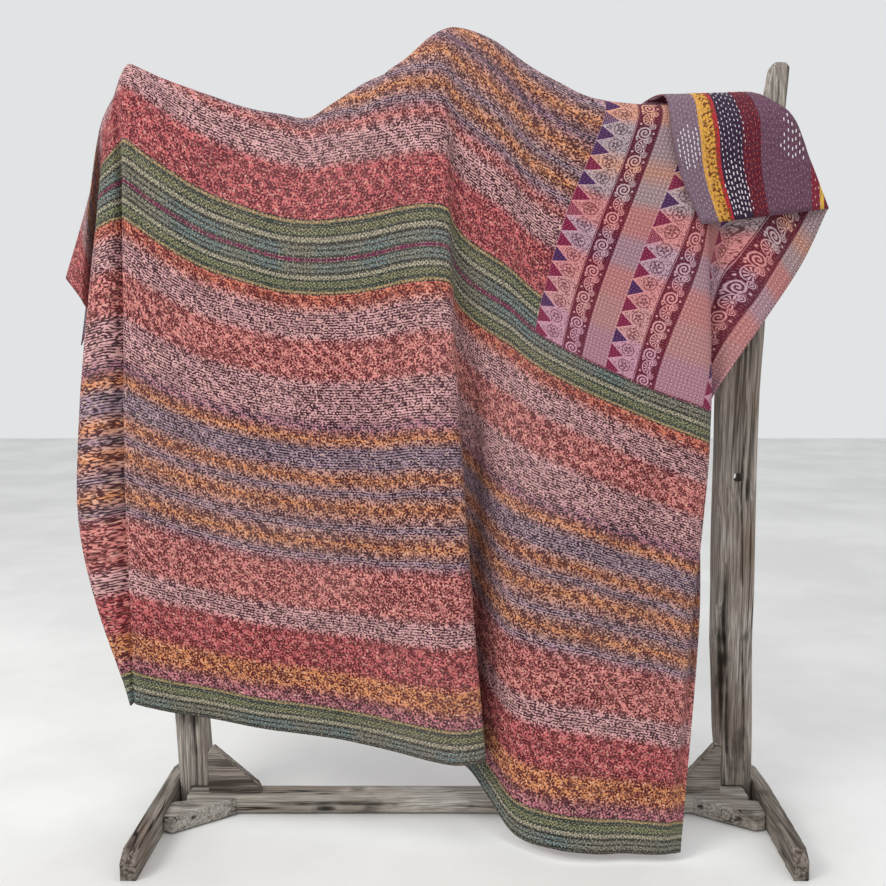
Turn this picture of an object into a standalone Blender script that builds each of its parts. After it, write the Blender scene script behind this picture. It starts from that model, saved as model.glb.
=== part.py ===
"""Kantha quilt hung over a rustic wooden rack.

Metres, +Z up, the viewer's side at -Y.  The tables are laid out from the floor midway between
the two posts; at the end everything is moved so that the origin is under the middle of the whole.
The quilt is one stitched sheet.  Its hang is worked out from tables of fold lines: every row
is one fold, every table one height on the cloth.
"""
from collections import namedtuple
import math

import bmesh
import bpy
from mathutils import Matrix, Vector

# ---------------------------------------------------------------- driving sizes (metres)
CLOTH_LONG = 1.90           # cut size of the quilt along its borders
CLOTH_ACROSS = 2.02         # cut size of the quilt across its borders
SARI_WIDTH = 1.16           # hem to the seam between the two sari lengths
CLOTH_THICK = 0.003
GAP = 0.0003                # between touching pieces
MIDDLE_X = -0.0195          # middle of the whole object's plan, from midway between the posts
MIDDLE_Y = -0.115

CROWN_RADIUS = 0.033        # the cloth's bend over the top rail
FOLD_LIFT = 0.011           # half the space inside the folded-over corner, at its crease

POST_TOP_LEFT = 1.700
POST_TOP_RIGHT = 1.745
POST_FOOT_GAP = 0.003       # the posts hang this far clear of the floor, on the feet

RAIL_TOP_MIDDLE = 1.619
RAIL_RISE = 0.035           # the rail climbs to the right, metres a metre
RAIL_HIGH = 0.052
RAIL_DEEP = 0.038
RAIL_LEFT = -0.712
RAIL_RIGHT = 0.740
RAIL_ROUND = 0.010          # worn corners of the rail, so the cloth runs over it softly
WORN_EDGE = 0.006           # worn corners of the posts and the stretcher

PEG_X = 0.033
PEG_WIDE = 0.080
PEG_DEEP = 0.036
PEG_TOP = 1.792
PEG_SEAT = 0.002            # the board is pinned just clear of the rail

STRETCHER_HIGH = 0.044
STRETCHER_DEEP = 0.060
STRETCHER_Y = -0.050
STRETCHER_BOTTOM = 0.003
STRETCHER_END = 0.012       # the stretcher runs this far past the posts' middles

FOOT_WIDE = 0.034
FOOT_HIGH = 0.060
FOOT_FRONT = -0.360
FOOT_BACK = 0.105
FOOT_BEND = -0.035          # the right foot toes in from here forward
FOOT_TOE_LEFT = 0.0
FOOT_TOE_RIGHT = -0.020

GUSSET_THICK = 0.026
STRUT_HIGH = 0.040
SIGHT_HOLE = 0.020          # square hole through the right post
SIGHT_HOLE_Z = 0.800
SIGHT_HOLE_X = 0.690
CUTTER_REACH = 0.050        # cutters run this far either side of what they cut

# ---------------------------------------------------------------- the quilt's fold lines
# s runs along the borders from the left side edge, t across them from the lower hem.
# Left to right; "s" is the place on the flat cloth, x, y and z the place in space.
Hem = namedtuple("Hem", "fold s x y z")
HEM = (
    Hem("left side edge", 0.000, -0.690, 0.000, 0.300),
    Hem("strip turned under", 0.050, -0.722, -0.014, 0.272),
    Hem("strip outer fold", 0.095, -0.747, -0.030, 0.250),
    Hem("strip face", 0.115, -0.742, -0.042, 0.256),
    Hem("left crease", 0.130, -0.734, -0.040, 0.262),
    Hem("panel edge", 0.145, -0.725, -0.060, 0.265),
    Hem("first sag", 0.235, -0.637, -0.078, 0.252),
    Hem("second sag", 0.330, -0.543, -0.088, 0.242),
    Hem("left swell", 0.445, -0.430, -0.112, 0.229),
    Hem("left middle", 0.550, -0.325, -0.128, 0.221),
    Hem("rail notch", 0.635, -0.240, -0.138, 0.213),
    Hem("notch flank", 0.720, -0.155, -0.158, 0.203),
    Hem("rise foot", 0.787, -0.090, -0.168, 0.191),
    Hem("rise", 0.850, -0.030, -0.188, 0.183),
    Hem("lip swell", 0.918, 0.037, -0.206, 0.180),
    Hem("deep lip", 0.980, 0.094, -0.200, 0.188),
    Hem("deep fold", 1.150, 0.012, -0.070, 0.150),
    Hem("deep fold back", 1.290, 0.062, -0.085, 0.116),
    Hem("right start", 1.370, 0.107, -0.160, 0.080),
    Hem("right flank", 1.455, 0.160, -0.222, 0.028),
    Hem("right swell", 1.550, 0.245, -0.278, 0.024),
    Hem("first pallu", 1.640, 0.330, -0.290, 0.020),
    Hem("second pallu", 1.700, 0.388, -0.284, 0.019),
    Hem("right middle", 1.765, 0.446, -0.288, 0.018),
    Hem("right lip", 1.815, 0.478, -0.287, 0.018),
    Hem("right valley", 1.845, 0.492, -0.285, 0.019),
    Hem("wing inner", 1.865, 0.499, -0.284, 0.019),
    Hem("wing outer", 1.885, 0.506, -0.283, 0.020),
    Hem("wing tip", 1.893, 0.509, -0.2825, 0.020),
    Hem("right side edge", 1.900, 0.512, -0.282, 0.020),
)

# Between hem and seam: how far up each fold bends, as a share, and how far it stands off the
# straight line there.
Knee = namedtuple("Knee", "fold share aside forward")
KNEE = (
    Knee("left side edge", 0.36, -0.062, 0.012),
    Knee("strip turned under", 0.36, -0.086, 0.006),
    Knee("strip outer fold", 0.36, -0.092, 0.002),
    Knee("strip face", 0.40, -0.052, 0.012),
    Knee("left crease", 0.50, 0.000, -0.004),
    Knee("panel edge", 0.50, -0.008, 0.006),
    Knee("first sag", 0.50, -0.006, 0.004),
    Knee("second sag", 0.50, -0.004, -0.004),
    Knee("left swell", 0.50, 0.006, 0.010),
    Knee("left middle", 0.50, 0.006, 0.002),
    Knee("rail notch", 0.50, 0.000, 0.008),
    Knee("notch flank", 0.50, -0.002, -0.004),
    Knee("rise foot", 0.50, -0.006, 0.006),
    Knee("rise", 0.50, -0.006, -0.002),
    Knee("lip swell", 0.50, -0.008, 0.006),
    Knee("deep lip", 0.50, -0.006, 0.000),
    Knee("deep fold", 0.50, 0.020, -0.012),
    Knee("deep fold back", 0.50, 0.020, -0.018),
    Knee("right start", 0.50, 0.000, -0.024),
    Knee("right flank", 0.50, -0.006, -0.020),
    Knee("right swell", 0.50, -0.006, -0.018),
    Knee("first pallu", 0.50, 0.008, -0.026),
    Knee("second pallu", 0.50, 0.006, -0.018),
    Knee("right middle", 0.50, 0.016, -0.024),
    Knee("right lip", 0.50, 0.012, -0.024),
    Knee("right valley", 0.50, 0.024, -0.028),
    Knee("wing inner", 0.50, 0.022, -0.028),
    Knee("wing outer", 0.50, 0.020, -0.028),
    Knee("wing tip", 0.50, 0.020, -0.028),
    Knee("right side edge", 0.50, 0.021, -0.028),
)

# Along the seam between the two sari lengths, t = SARI_WIDTH.
Seam = namedtuple("Seam", "fold s x y z")
SEAM = (
    Seam("left side edge", 0.000, -0.708, 0.048, 1.345),
    Seam("strip turned under", 0.090, -0.760, 0.036, 1.395),
    Seam("strip outer fold", 0.170, -0.780, -0.030, 1.436),
    Seam("strip face", 0.220, -0.740, -0.050, 1.462),
    Seam("left crease", 0.255, -0.7225, -0.036, 1.474),
    Seam("panel edge", 0.285, -0.714, -0.056, 1.474),
    Seam("first sag", 0.375, -0.639, -0.060, 1.420),
    Seam("second sag", 0.490, -0.537, -0.066, 1.360),
    Seam("left swell", 0.585, -0.450, -0.070, 1.328),
    Seam("left middle", 0.675, -0.365, -0.071, 1.304),
    Seam("rail notch", 0.765, -0.279, -0.080, 1.297),
    Seam("notch flank", 0.825, -0.220, -0.080, 1.301),
    Seam("rise foot", 0.880, -0.164, -0.088, 1.308),
    Seam("rise", 0.965, -0.080, -0.086, 1.326),
    Seam("lip swell", 1.025, -0.020, -0.098, 1.330),
    Seam("deep lip", 1.060, 0.011, -0.098, 1.322),
    Seam("deep fold", 1.100, 0.024, -0.070, 1.290),
    Seam("deep fold back", 1.140, 0.052, -0.064, 1.255),
    Seam("right start", 1.195, 0.092, -0.070, 1.225),
    Seam("right flank", 1.270, 0.148, -0.081, 1.190),
    Seam("right swell", 1.345, 0.202, -0.086, 1.144),
    Seam("first pallu", 1.430, 0.278, -0.092, 1.100),
    Seam("second pallu", 1.525, 0.363, -0.089, 1.059),
    Seam("right middle", 1.630, 0.461, -0.092, 1.016),
    Seam("right lip", 1.785, 0.603, -0.092, 0.962),
    Seam("right valley", 1.825, 0.574, -0.056, 0.966),
    Seam("wing inner", 1.850, 0.582, -0.046, 0.962),
    Seam("wing outer", 1.875, 0.591, -0.051, 0.956),
    Seam("wing tip", 1.888, 0.596, -0.056, 0.953),
    Seam("right side edge", 1.900, 0.600, -0.061, 0.950),
)

# Where each fold crosses the top, its place on the flat cloth and how it hangs behind:
# tail_x is the sideways swing of the free back edge, tail_y how far behind the rack it hangs.
Crown = namedtuple("Crown", "fold s t x z tail_x tail_y")
CROWN = (
    Crown("panel edge", 0.290, 1.450, -0.708, 1.739, -0.105, 0.128),
    Crown("first sag", 0.365, 1.465, -0.640, 1.710, -0.060, 0.120),
    Crown("second sag", 0.455, 1.490, -0.545, 1.676, -0.030, 0.075),
    Crown("left swell", 0.550, 1.500, -0.439, 1.642, -0.010, 0.110),
    Crown("left middle", 0.625, 1.510, -0.360, 1.628, 0.000, 0.080),
    Crown("rail notch", 0.668, 1.520, -0.312, 1.622, 0.010, 0.065),
    Crown("notch flank", 0.740, 1.545, -0.245, 1.656, 0.012, 0.095),
    Crown("rise foot", 0.805, 1.580, -0.184, 1.694, 0.015, 0.070),
    Crown("rise", 0.890, 1.610, -0.097, 1.742, 0.010, 0.095),
    Crown("lip swell", 0.970, 1.670, -0.027, 1.800, 0.010, 0.075),
    Crown("deep lip", 1.003, 1.695, 0.003, 1.815, 0.005, 0.085),
    Crown("deep fold", 1.020, 1.710, 0.018, 1.819, 0.002, 0.092),
    Crown("deep fold back", 1.040, 1.725, 0.034, 1.819, 0.002, 0.088),
    Crown("right start", 1.075, 1.740, 0.065, 1.812, 0.000, 0.078),
    Crown("right flank", 1.130, 1.765, 0.122, 1.787, 0.000, 0.070),
    Crown("right swell", 1.200, 1.780, 0.192, 1.738, 0.000, 0.066),
)

# Right of the turning point the quilt's corner is folded over, and each fold ends on that slanting
# crease instead of the back edge.  run is the way down the back from the crown, along the cloth:
# first to the crease, then, for the same fold in the turned corner, to its free edge.
Turn = namedtuple("Turn", "fold s t x z crease_x crease_run edge_x edge_run")
TURN = (
    Turn("first pallu", 1.270, 1.785, 0.265, 1.697, 0.275, 0.216, 0.262, 0.198),
    Turn("second pallu", 1.325, 1.785, 0.335, 1.666, 0.350, 0.174, 0.313, 0.174),
    Turn("right middle", 1.440, 1.790, 0.462, 1.650, 0.475, 0.114, 0.378, 0.114),
    Turn("right lip", 1.545, 1.800, 0.575, 1.652, 0.590, 0.059, 0.437, 0.059),
    Turn("right valley", 1.600, 1.805, 0.622, 1.653, 0.655, 0.027, 0.471, 0.027),
)

# The last folds rise slantwise in front of the right post and turn over before or on the rail:
# four steps up each one, the last of them on the crease.
Rise = namedtuple("Rise", "fold step s t x y z")
WING = (
    Rise("wing inner", 1, 1.716, 1.740, 0.672, -0.042, 1.590),
    Rise("wing inner", 2, 1.700, 1.780, 0.684, -0.037, 1.628),
    Rise("wing inner", 3, 1.688, 1.802, 0.692, -0.025, 1.652),
    Rise("wing inner", 4, 1.676, 1.820, 0.698, -0.004, 1.667),
    Rise("wing outer", 1, 1.795, 1.600, 0.706, -0.056, 1.430),
    Rise("wing outer", 2, 1.777, 1.680, 0.732, -0.055, 1.510),
    Rise("wing outer", 3, 1.760, 1.740, 0.751, -0.053, 1.575),
    Rise("wing outer", 4, 1.745, 1.787, 0.764, -0.058, 1.622),
    Rise("wing tip", 1, 1.862, 1.470, 0.722, -0.062, 1.250),
    Rise("wing tip", 2, 1.849, 1.580, 0.760, -0.062, 1.350),
    Rise("wing tip", 3, 1.836, 1.680, 0.790, -0.062, 1.440),
    Rise("wing tip", 4, 1.824, 1.747, 0.811, -0.072, 1.518),
    Rise("right side edge", 1, 1.900, 1.290, 0.656, -0.069, 1.060),
    Rise("right side edge", 2, 1.900, 1.430, 0.732, -0.071, 1.175),
    Rise("right side edge", 3, 1.900, 1.590, 0.806, -0.072, 1.295),
    Rise("right side edge", 4, 1.900, 1.710, 0.852, -0.082, 1.408),
)

# Free edge of the turned corner for those same folds, out in front of the rail.
TURNED_EDGE = (
    Rise("wing inner", 4, 1.600, 2.020, 0.500, -0.002, 1.672),
    Rise("wing outer", 4, 1.690, 2.020, 0.508, -0.061, 1.575),
    Rise("wing tip", 4, 1.795, 2.020, 0.529, -0.072, 1.478),
    Rise("right side edge", 4, 1.900, 2.020, 0.574, -0.084, 1.375),
)

# The left end wraps round the left post like the corner of a table cloth.
WRAP = (
    Rise("left side edge", 1, 0.000, 1.300, -0.735, 0.048, 1.400),
    Rise("left side edge", 2, 0.000, 1.440, -0.776, 0.041, 1.416),
    Rise("left side edge", 3, 0.000, 1.700, -0.826, 0.048, 1.290),
    Rise("left side edge", 4, 0.000, 2.020, -0.864, 0.056, 1.108),
    Rise("strip turned under", 1, 0.085, 1.300, -0.760, 0.020, 1.450),
    Rise("strip turned under", 2, 0.080, 1.440, -0.786, 0.018, 1.510),
    Rise("strip turned under", 3, 0.080, 1.700, -0.818, 0.026, 1.370),
    Rise("strip turned under", 4, 0.080, 2.020, -0.832, 0.030, 1.175),
    Rise("strip outer fold", 1, 0.165, 1.300, -0.768, -0.030, 1.530),
    Rise("strip outer fold", 2, 0.160, 1.430, -0.775, -0.006, 1.608),
    Rise("strip outer fold", 3, 0.158, 1.660, -0.814, 0.010, 1.450),
    Rise("strip outer fold", 4, 0.155, 2.020, -0.842, 0.006, 1.214),
    Rise("strip face", 1, 0.226, 1.340, -0.750, -0.034, 1.600),
    Rise("strip face", 2, 0.232, 1.440, -0.744, 0.004, 1.678),
    Rise("strip face", 3, 0.230, 1.640, -0.792, 0.042, 1.560),
    Rise("strip face", 4, 0.225, 2.020, -0.891, 0.050, 1.265),
    Rise("left crease", 1, 0.262, 1.390, -0.724, -0.030, 1.690),
    Rise("left crease", 2, 0.270, 1.440, -0.719, 0.000, 1.728),
    Rise("left crease", 3, 0.272, 1.560, -0.754, 0.046, 1.660),
    Rise("left crease", 4, 0.275, 2.020, -0.878, 0.108, 1.228),
)


def spline(points, parts):
    """Centripetal curve through points (tuples of any length), parts[i] steps to each span."""
    def gap(first, second):
        return max(1e-6, math.dist(first[:3], second[:3]) ** 0.5)

    def mix(first, second, start, end, at):
        share = (at - start) / (end - start)
        return [a + (b - a) * share for a, b in zip(first, second)]

    before = [2 * a - b for a, b in zip(points[0], points[1])]
    after = [2 * a - b for a, b in zip(points[-1], points[-2])]
    chain = [before, *points, after]
    curve = [list(points[0])]
    for span, steps in enumerate(parts):
        p0, p1, p2, p3 = chain[span:span + 4]
        k1 = gap(p0, p1)
        k2 = k1 + gap(p1, p2)
        k3 = k2 + gap(p2, p3)
        for step in range(1, steps + 1):
            at = k1 + (k2 - k1) * step / steps
            a1 = mix(p0, p1, 0.0, k1, at)
            a2 = mix(p1, p2, k1, k2, at)
            a3 = mix(p2, p3, k2, k3, at)
            b1 = mix(a1, a2, 0.0, k2, at)
            b2 = mix(a2, a3, k1, k3, at)
            curve.append(mix(b1, b2, k1, k2, at))
    return curve


def over_rail(x, crown_z, run, lift=0.0):
    """Place at a run along the cloth behind (+) or before (-) the crown, lift above it."""
    radius = CROWN_RADIUS + lift
    quarter = radius * math.pi / 2
    middle_z = crown_z - CROWN_RADIUS
    if abs(run) <= quarter:
        angle = run / radius
        return (x, radius * math.sin(angle), middle_z + radius * math.cos(angle))
    return (x, math.copysign(radius, run), middle_z - (abs(run) - quarter))


def fold_path(fold):
    """Places (x, y, z, s, t) up one fold: hem, knee, seam, then four over the top or the crease."""
    hem = next(row for row in HEM if row.fold == fold)
    knee = next(row for row in KNEE if row.fold == fold)
    seam = next(row for row in SEAM if row.fold == fold)
    path = [(hem.x, hem.y, hem.z, hem.s, 0.0)]
    straight = Vector((hem.x, hem.y, hem.z)).lerp(Vector((seam.x, seam.y, seam.z)), knee.share)
    knee_s = hem.s + (seam.s - hem.s) * knee.share
    path.append((straight.x + knee.aside, straight.y - knee.forward, straight.z,
                 knee_s, SARI_WIDTH * knee.share))
    path.append((seam.x, seam.y, seam.z, seam.s, SARI_WIDTH))
    quarter = CROWN_RADIUS * math.pi / 2
    for row in CROWN:
        if row.fold == fold:
            for run in (-quarter, 0.0, quarter):
                path.append((*over_rail(row.x, row.z, run), row.s, row.t + run))
            fall = CLOTH_ACROSS - row.t
            tail_z = over_rail(row.x, row.z, fall)[2]
            path.append((row.x + row.tail_x, row.tail_y, tail_z, row.s, CLOTH_ACROSS))
    for row in TURN:
        if row.fold == fold:
            path.append((*over_rail(row.x, row.z, -quarter), row.s, row.t - quarter))
            path.append((*over_rail(row.x, row.z, 0.0), row.s, row.t))
            half_way = row.crease_run / 2
            half_x = (row.x + row.crease_x) / 2
            path.append((*over_rail(half_x, row.z, half_way), row.s, row.t + half_way))
            crease = over_rail(row.crease_x, row.z, row.crease_run, FOLD_LIFT)
            path.append((*crease, row.s, row.t + row.crease_run))
    for row in WING + WRAP:
        if row.fold == fold:
            path.append((row.x, row.y, row.z, row.s, row.t))
    return path


def turned_edge_path():
    """Free edge of the turned corner (x, y, z, s, t), one place for each fold from the first on."""
    path = []
    for row in TURN:
        edge = over_rail(row.edge_x, row.z, row.edge_run, 2 * FOLD_LIFT)
        path.append((*edge, row.s, CLOTH_ACROSS))
    for row in TURNED_EDGE:
        path.append((row.x, row.y, row.z, row.s, row.t))
    return path


UP_STEPS = (5, 5, 4, 3, 3, 3)       # mesh steps from level to level, hem to tail
ACROSS_STEPS = 2                    # mesh steps from fold to fold
TURNED_STEPS = 3                    # mesh steps across the turned corner, past the roll
ROLL_STEPS = 3                      # mesh steps round the roll of the crease
ROLL_REACH = 0.012                  # how far in from the crease the roll goes
FIRST_TURN = 21                     # number of the fold where the crease begins


def quilt_sheet():
    """Vertices and faces of the quilt's middle surface, corner folded over."""
    folds = [row.fold for row in HEM]
    columns = [spline(fold_path(fold), UP_STEPS) for fold in folds]
    spans = [ACROSS_STEPS] * (len(folds) - 1)
    levels = [spline([column[level] for column in columns], spans)
              for level in range(sum(UP_STEPS) + 1)]
    verts = [place[:3] for level in levels for place in level]
    wide = len(levels[0])
    faces = []
    for up in range(len(levels) - 1):
        for across in range(wide - 1):
            low = up * wide + across
            faces.append((low, low + 1, low + wide + 1, low + wide))
    crease = levels[-1][FIRST_TURN * ACROSS_STEPS:]
    edge = spline(turned_edge_path(), [ACROSS_STEPS] * (len(TURN) + len(TURNED_EDGE) - 1))
    below = [(len(levels) - 1) * wide + FIRST_TURN * ACROSS_STEPS + n for n in range(len(crease))]
    for step in range(1, ROLL_STEPS + TURNED_STEPS + 1):
        row = []
        for start, end in zip(crease, edge):
            row.append(len(verts))
            verts.append(turned_place(Vector(start[:3]), Vector(end[:3]), step))
        for number in range(len(crease) - 1):
            faces.append((below[number], below[number + 1], row[number + 1], row[number]))
        below = row
    return verts, faces


def turned_place(crease, edge, step):
    """Place on the turned corner, so many steps from its crease to its free edge."""
    width = (edge - crease).length
    reach = min(ROLL_REACH, width / 2)
    if step <= ROLL_STEPS:
        quarter = math.pi / 2 * step / ROLL_STEPS
        along = reach * (1 - math.cos(quarter))
        rise = FOLD_LIFT * math.sin(quarter)
    else:
        along = reach + (width - reach) * (step - ROLL_STEPS) / TURNED_STEPS
        rise = FOLD_LIFT
    share = along / width
    return tuple(crease.lerp(edge, share) + outward_of(crease) * rise * (1 - share))


def outward_of(place):
    """Direction away from the rail at a place on the folded corner."""
    below_crown = place.z - (RAIL_TOP_MIDDLE + RAIL_RISE * place.x)
    side = -1.0 if place.y < 0 else 1.0
    reach = max(0.0, min(1.0, abs(place.y) / CROWN_RADIUS))
    if below_crown < 0:
        reach = 1.0
    return Vector((0.0, side * reach, math.sqrt(1 - reach ** 2))).normalized()


# ---------------------------------------------------------------- making the objects
def clear_scene():
    for thing in list(bpy.data.objects):
        bpy.data.objects.remove(thing, do_unlink=True)


def collection(name):
    group = bpy.data.collections.new(name)
    bpy.context.scene.collection.children.link(group)
    return group


def material(name, colour, roughness):
    made = bpy.data.materials.new(name)
    made.use_nodes = True
    shader = made.node_tree.nodes["Principled BSDF"]
    shader.inputs["Base Color"].default_value = (*colour, 1.0)
    shader.inputs["Roughness"].default_value = roughness
    shader.inputs["Metallic"].default_value = 0.0
    return made


def mesh_object(name, verts, faces, finish, group):
    mesh = bpy.data.meshes.new(name)
    mesh.from_pydata(verts, [], faces)
    mesh.update()
    made = bpy.data.objects.new(name, mesh)
    made.data.materials.append(finish)
    group.objects.link(made)
    return made


def prism(name, outline, low, high, axis, finish, group):
    """A flat outline (pairs) pushed from low to high along Y or Z, faces outward."""
    shape = bmesh.new()
    ring = []
    for first, second in outline:
        place = (first, low, second) if axis == "Y" else (first, second, low)
        ring.append(shape.verts.new(place))
    face = shape.faces.new(ring)
    pushed = bmesh.ops.extrude_face_region(shape, geom=[face])
    moved = [part for part in pushed["geom"] if isinstance(part, bmesh.types.BMVert)]
    shift = (0, high - low, 0) if axis == "Y" else (0, 0, high - low)
    bmesh.ops.translate(shape, verts=moved, vec=shift)
    bmesh.ops.recalc_face_normals(shape, faces=shape.faces)
    mesh = bpy.data.meshes.new(name)
    shape.to_mesh(mesh)
    shape.free()
    made = bpy.data.objects.new(name, mesh)
    made.data.materials.append(finish)
    group.objects.link(made)
    return made


def soften(thing, width, segments=2):
    bevel = thing.modifiers.new("worn edges", "BEVEL")
    bevel.width = width
    bevel.segments = segments
    bevel.limit_method = "ANGLE"
    bevel.angle_limit = math.radians(50)


def cut(thing, cutter):
    cutter.hide_render = True
    cutter.display_type = "WIRE"
    step = thing.modifiers.new("cut " + cutter.name, "BOOLEAN")
    step.operation = "DIFFERENCE"
    step.object = cutter
    step.solver = "EXACT"


# height, middle x, half width and half depth of each upright, floor to top
Section = namedtuple("Section", "z x half_wide half_deep")
POST_LEFT = (
    Section(POST_FOOT_GAP, -0.5970, 0.0380, 0.030),
    Section(0.300, -0.6120, 0.0370, 0.030),
    Section(0.800, -0.6400, 0.0350, 0.028),
    Section(1.300, -0.6700, 0.0310, 0.026),
    Section(1.600, -0.6900, 0.0250, 0.023),
    Section(POST_TOP_LEFT - 0.012, -0.6985, 0.0210, 0.020),
    Section(POST_TOP_LEFT, -0.7000, 0.0130, 0.012),
)
POST_RIGHT = (
    Section(POST_FOOT_GAP, 0.7130, 0.0350, 0.030),
    Section(0.180, 0.7030, 0.0420, 0.030),
    Section(0.400, 0.6920, 0.0450, 0.030),
    Section(0.700, 0.6890, 0.0470, 0.029),
    Section(1.000, 0.6890, 0.0470, 0.028),
    Section(1.300, 0.7080, 0.0410, 0.026),
    Section(1.500, 0.7280, 0.0330, 0.024),
    Section(1.640, 0.7490, 0.0260, 0.020),
    Section(POST_TOP_RIGHT - 0.014, 0.7600, 0.0220, 0.018),
    Section(POST_TOP_RIGHT, 0.7610, 0.0140, 0.012),
)


def post(name, sections, finish, group):
    """A hewn upright: four-sided sections lofted from floor to top."""
    verts = []
    for place in sections:
        for side, face in ((-1, -1), (1, -1), (1, 1), (-1, 1)):
            verts.append((place.x + side * place.half_wide, face * place.half_deep, place.z))
    faces = [(3, 2, 1, 0)]
    for level in range(len(sections) - 1):
        low = level * 4
        for corner in range(4):
            after = (corner + 1) % 4
            faces.append((low + corner, low + after, low + 4 + after, low + 4 + corner))
    top = (len(sections) - 1) * 4
    faces.append((top, top + 1, top + 2, top + 3))
    made = mesh_object(name, verts, faces, finish, group)
    soften(made, WORN_EDGE)
    return made


def beam_outline(spare):
    """Long outline of the top rail, which climbs to the right, larger all round by spare."""
    def top_at(x):
        return RAIL_TOP_MIDDLE + RAIL_RISE * x + spare
    left = RAIL_LEFT - spare
    right = RAIL_RIGHT + spare
    high = RAIL_HIGH + 2 * spare
    return ((left, top_at(left) - high), (right, top_at(right) - high),
            (right, top_at(right)), (left, top_at(left)))


def build_rack(group, cutters):
    old_wood = material("weathered wood", (0.16, 0.135, 0.115), 0.85)
    pale_wood = material("bleached wood", (0.38, 0.35, 0.32), 0.88)

    left_post = post("post_left", POST_LEFT, old_wood, group)
    right_post = post("post_right", POST_RIGHT, old_wood, group)

    half = RAIL_DEEP / 2
    rail = prism("top_rail", beam_outline(0.0), -half, half, "Y", old_wood, group)
    mortise = prism("rail_mortise", beam_outline(GAP), -half - GAP, half + GAP, "Y", old_wood,
                    cutters)
    cut(left_post, mortise)
    cut(right_post, mortise)
    soften(rail, RAIL_ROUND, 3)

    sight = prism("sight_hole_cutter", square(SIGHT_HOLE_X, SIGHT_HOLE_Z, SIGHT_HOLE),
                  -CUTTER_REACH, CUTTER_REACH, "Y", old_wood, cutters)
    cut(right_post, sight)

    build_peg(old_wood, group)

    low = STRETCHER_BOTTOM
    front = STRETCHER_Y - STRETCHER_DEEP / 2
    back = STRETCHER_Y + STRETCHER_DEEP / 2
    high = low + STRETCHER_HIGH
    left_end = POST_LEFT[0].x - STRETCHER_END
    right_end = POST_RIGHT[0].x + STRETCHER_END
    plan = ((left_end, front), (right_end, front), (right_end, back), (left_end, back))
    stretcher = prism("stretcher", plan, low, high, "Z", pale_wood, group)
    socket_plan = ((left_end - GAP, front - GAP), (right_end + GAP, front - GAP),
                   (right_end + GAP, back + GAP), (left_end - GAP, back + GAP))
    socket = prism("stretcher_socket", socket_plan, low - CUTTER_REACH, high + GAP, "Z", old_wood,
                   cutters)
    cut(left_post, socket)
    cut(right_post, socket)
    soften(stretcher, WORN_EDGE)

    lean = (POST_LEFT[1].x - POST_LEFT[0].x) / POST_LEFT[1].z * FOOT_HIGH
    left_face = POST_LEFT[0].x + lean - POST_LEFT[0].half_wide - GAP
    right_face = POST_RIGHT[0].x + POST_RIGHT[0].half_wide + GAP
    foot("foot_left", left_face - FOOT_WIDE, left_face, FOOT_TOE_LEFT, old_wood, group)
    foot("foot_right", right_face, right_face + FOOT_WIDE, FOOT_TOE_RIGHT, old_wood, group)

    build_braces(high, front, left_face, right_face, old_wood, pale_wood, group)


def square(x, z, side):
    half = side / 2
    return ((x - half, z - half), (x + half, z - half), (x + half, z + half), (x - half, z + half))


def build_peg(finish, group):
    """Round-headed board on the middle of the rail that carries the quilt's peak."""
    base = RAIL_TOP_MIDDLE + RAIL_RISE * PEG_X + PEG_SEAT
    half = PEG_WIDE / 2
    outline = [(PEG_X - half, base), (PEG_X + half, base)]
    for step in range(9):
        angle = math.pi * step / 8
        outline.append((PEG_X + half * math.cos(angle), PEG_TOP - half + half * math.sin(angle)))
    prism("peak_peg", outline, -PEG_DEEP / 2, PEG_DEEP / 2, "Y", finish, group)


def foot(name, left, right, toe, finish, group):
    """Board on edge from behind the post to well in front, its front end slanted."""
    slope = 0.012
    side = ((FOOT_FRONT, 0.0), (FOOT_BEND, 0.0), (FOOT_BACK, 0.0), (FOOT_BACK, FOOT_HIGH - slope),
            (0.05, FOOT_HIGH), (FOOT_BEND, FOOT_HIGH), (FOOT_FRONT + 0.03, FOOT_HIGH),
            (FOOT_FRONT, FOOT_HIGH - 0.02))
    verts = []
    for x in (left, right):
        for y, z in side:
            shift = toe * max(0.0, (FOOT_BEND - y) / (FOOT_BEND - FOOT_FRONT))
            verts.append((x + shift, y, z))
    count = len(side)
    ahead = (0, 1, 5, 6, 7)
    behind = (1, 2, 3, 4, 5)
    faces = []
    for half in (ahead, behind):
        faces.append(tuple(reversed(half)))
        faces.append(tuple(corner + count for corner in half))
    for corner in range(count):
        after = (corner + 1) % count
        faces.append((corner, after, after + count, corner + count))
    shape = bmesh.new()
    made = mesh_object(name, verts, faces, finish, group)
    shape.from_mesh(made.data)
    bmesh.ops.recalc_face_normals(shape, faces=shape.faces)
    shape.to_mesh(made.data)
    shape.free()
    return made


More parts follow.
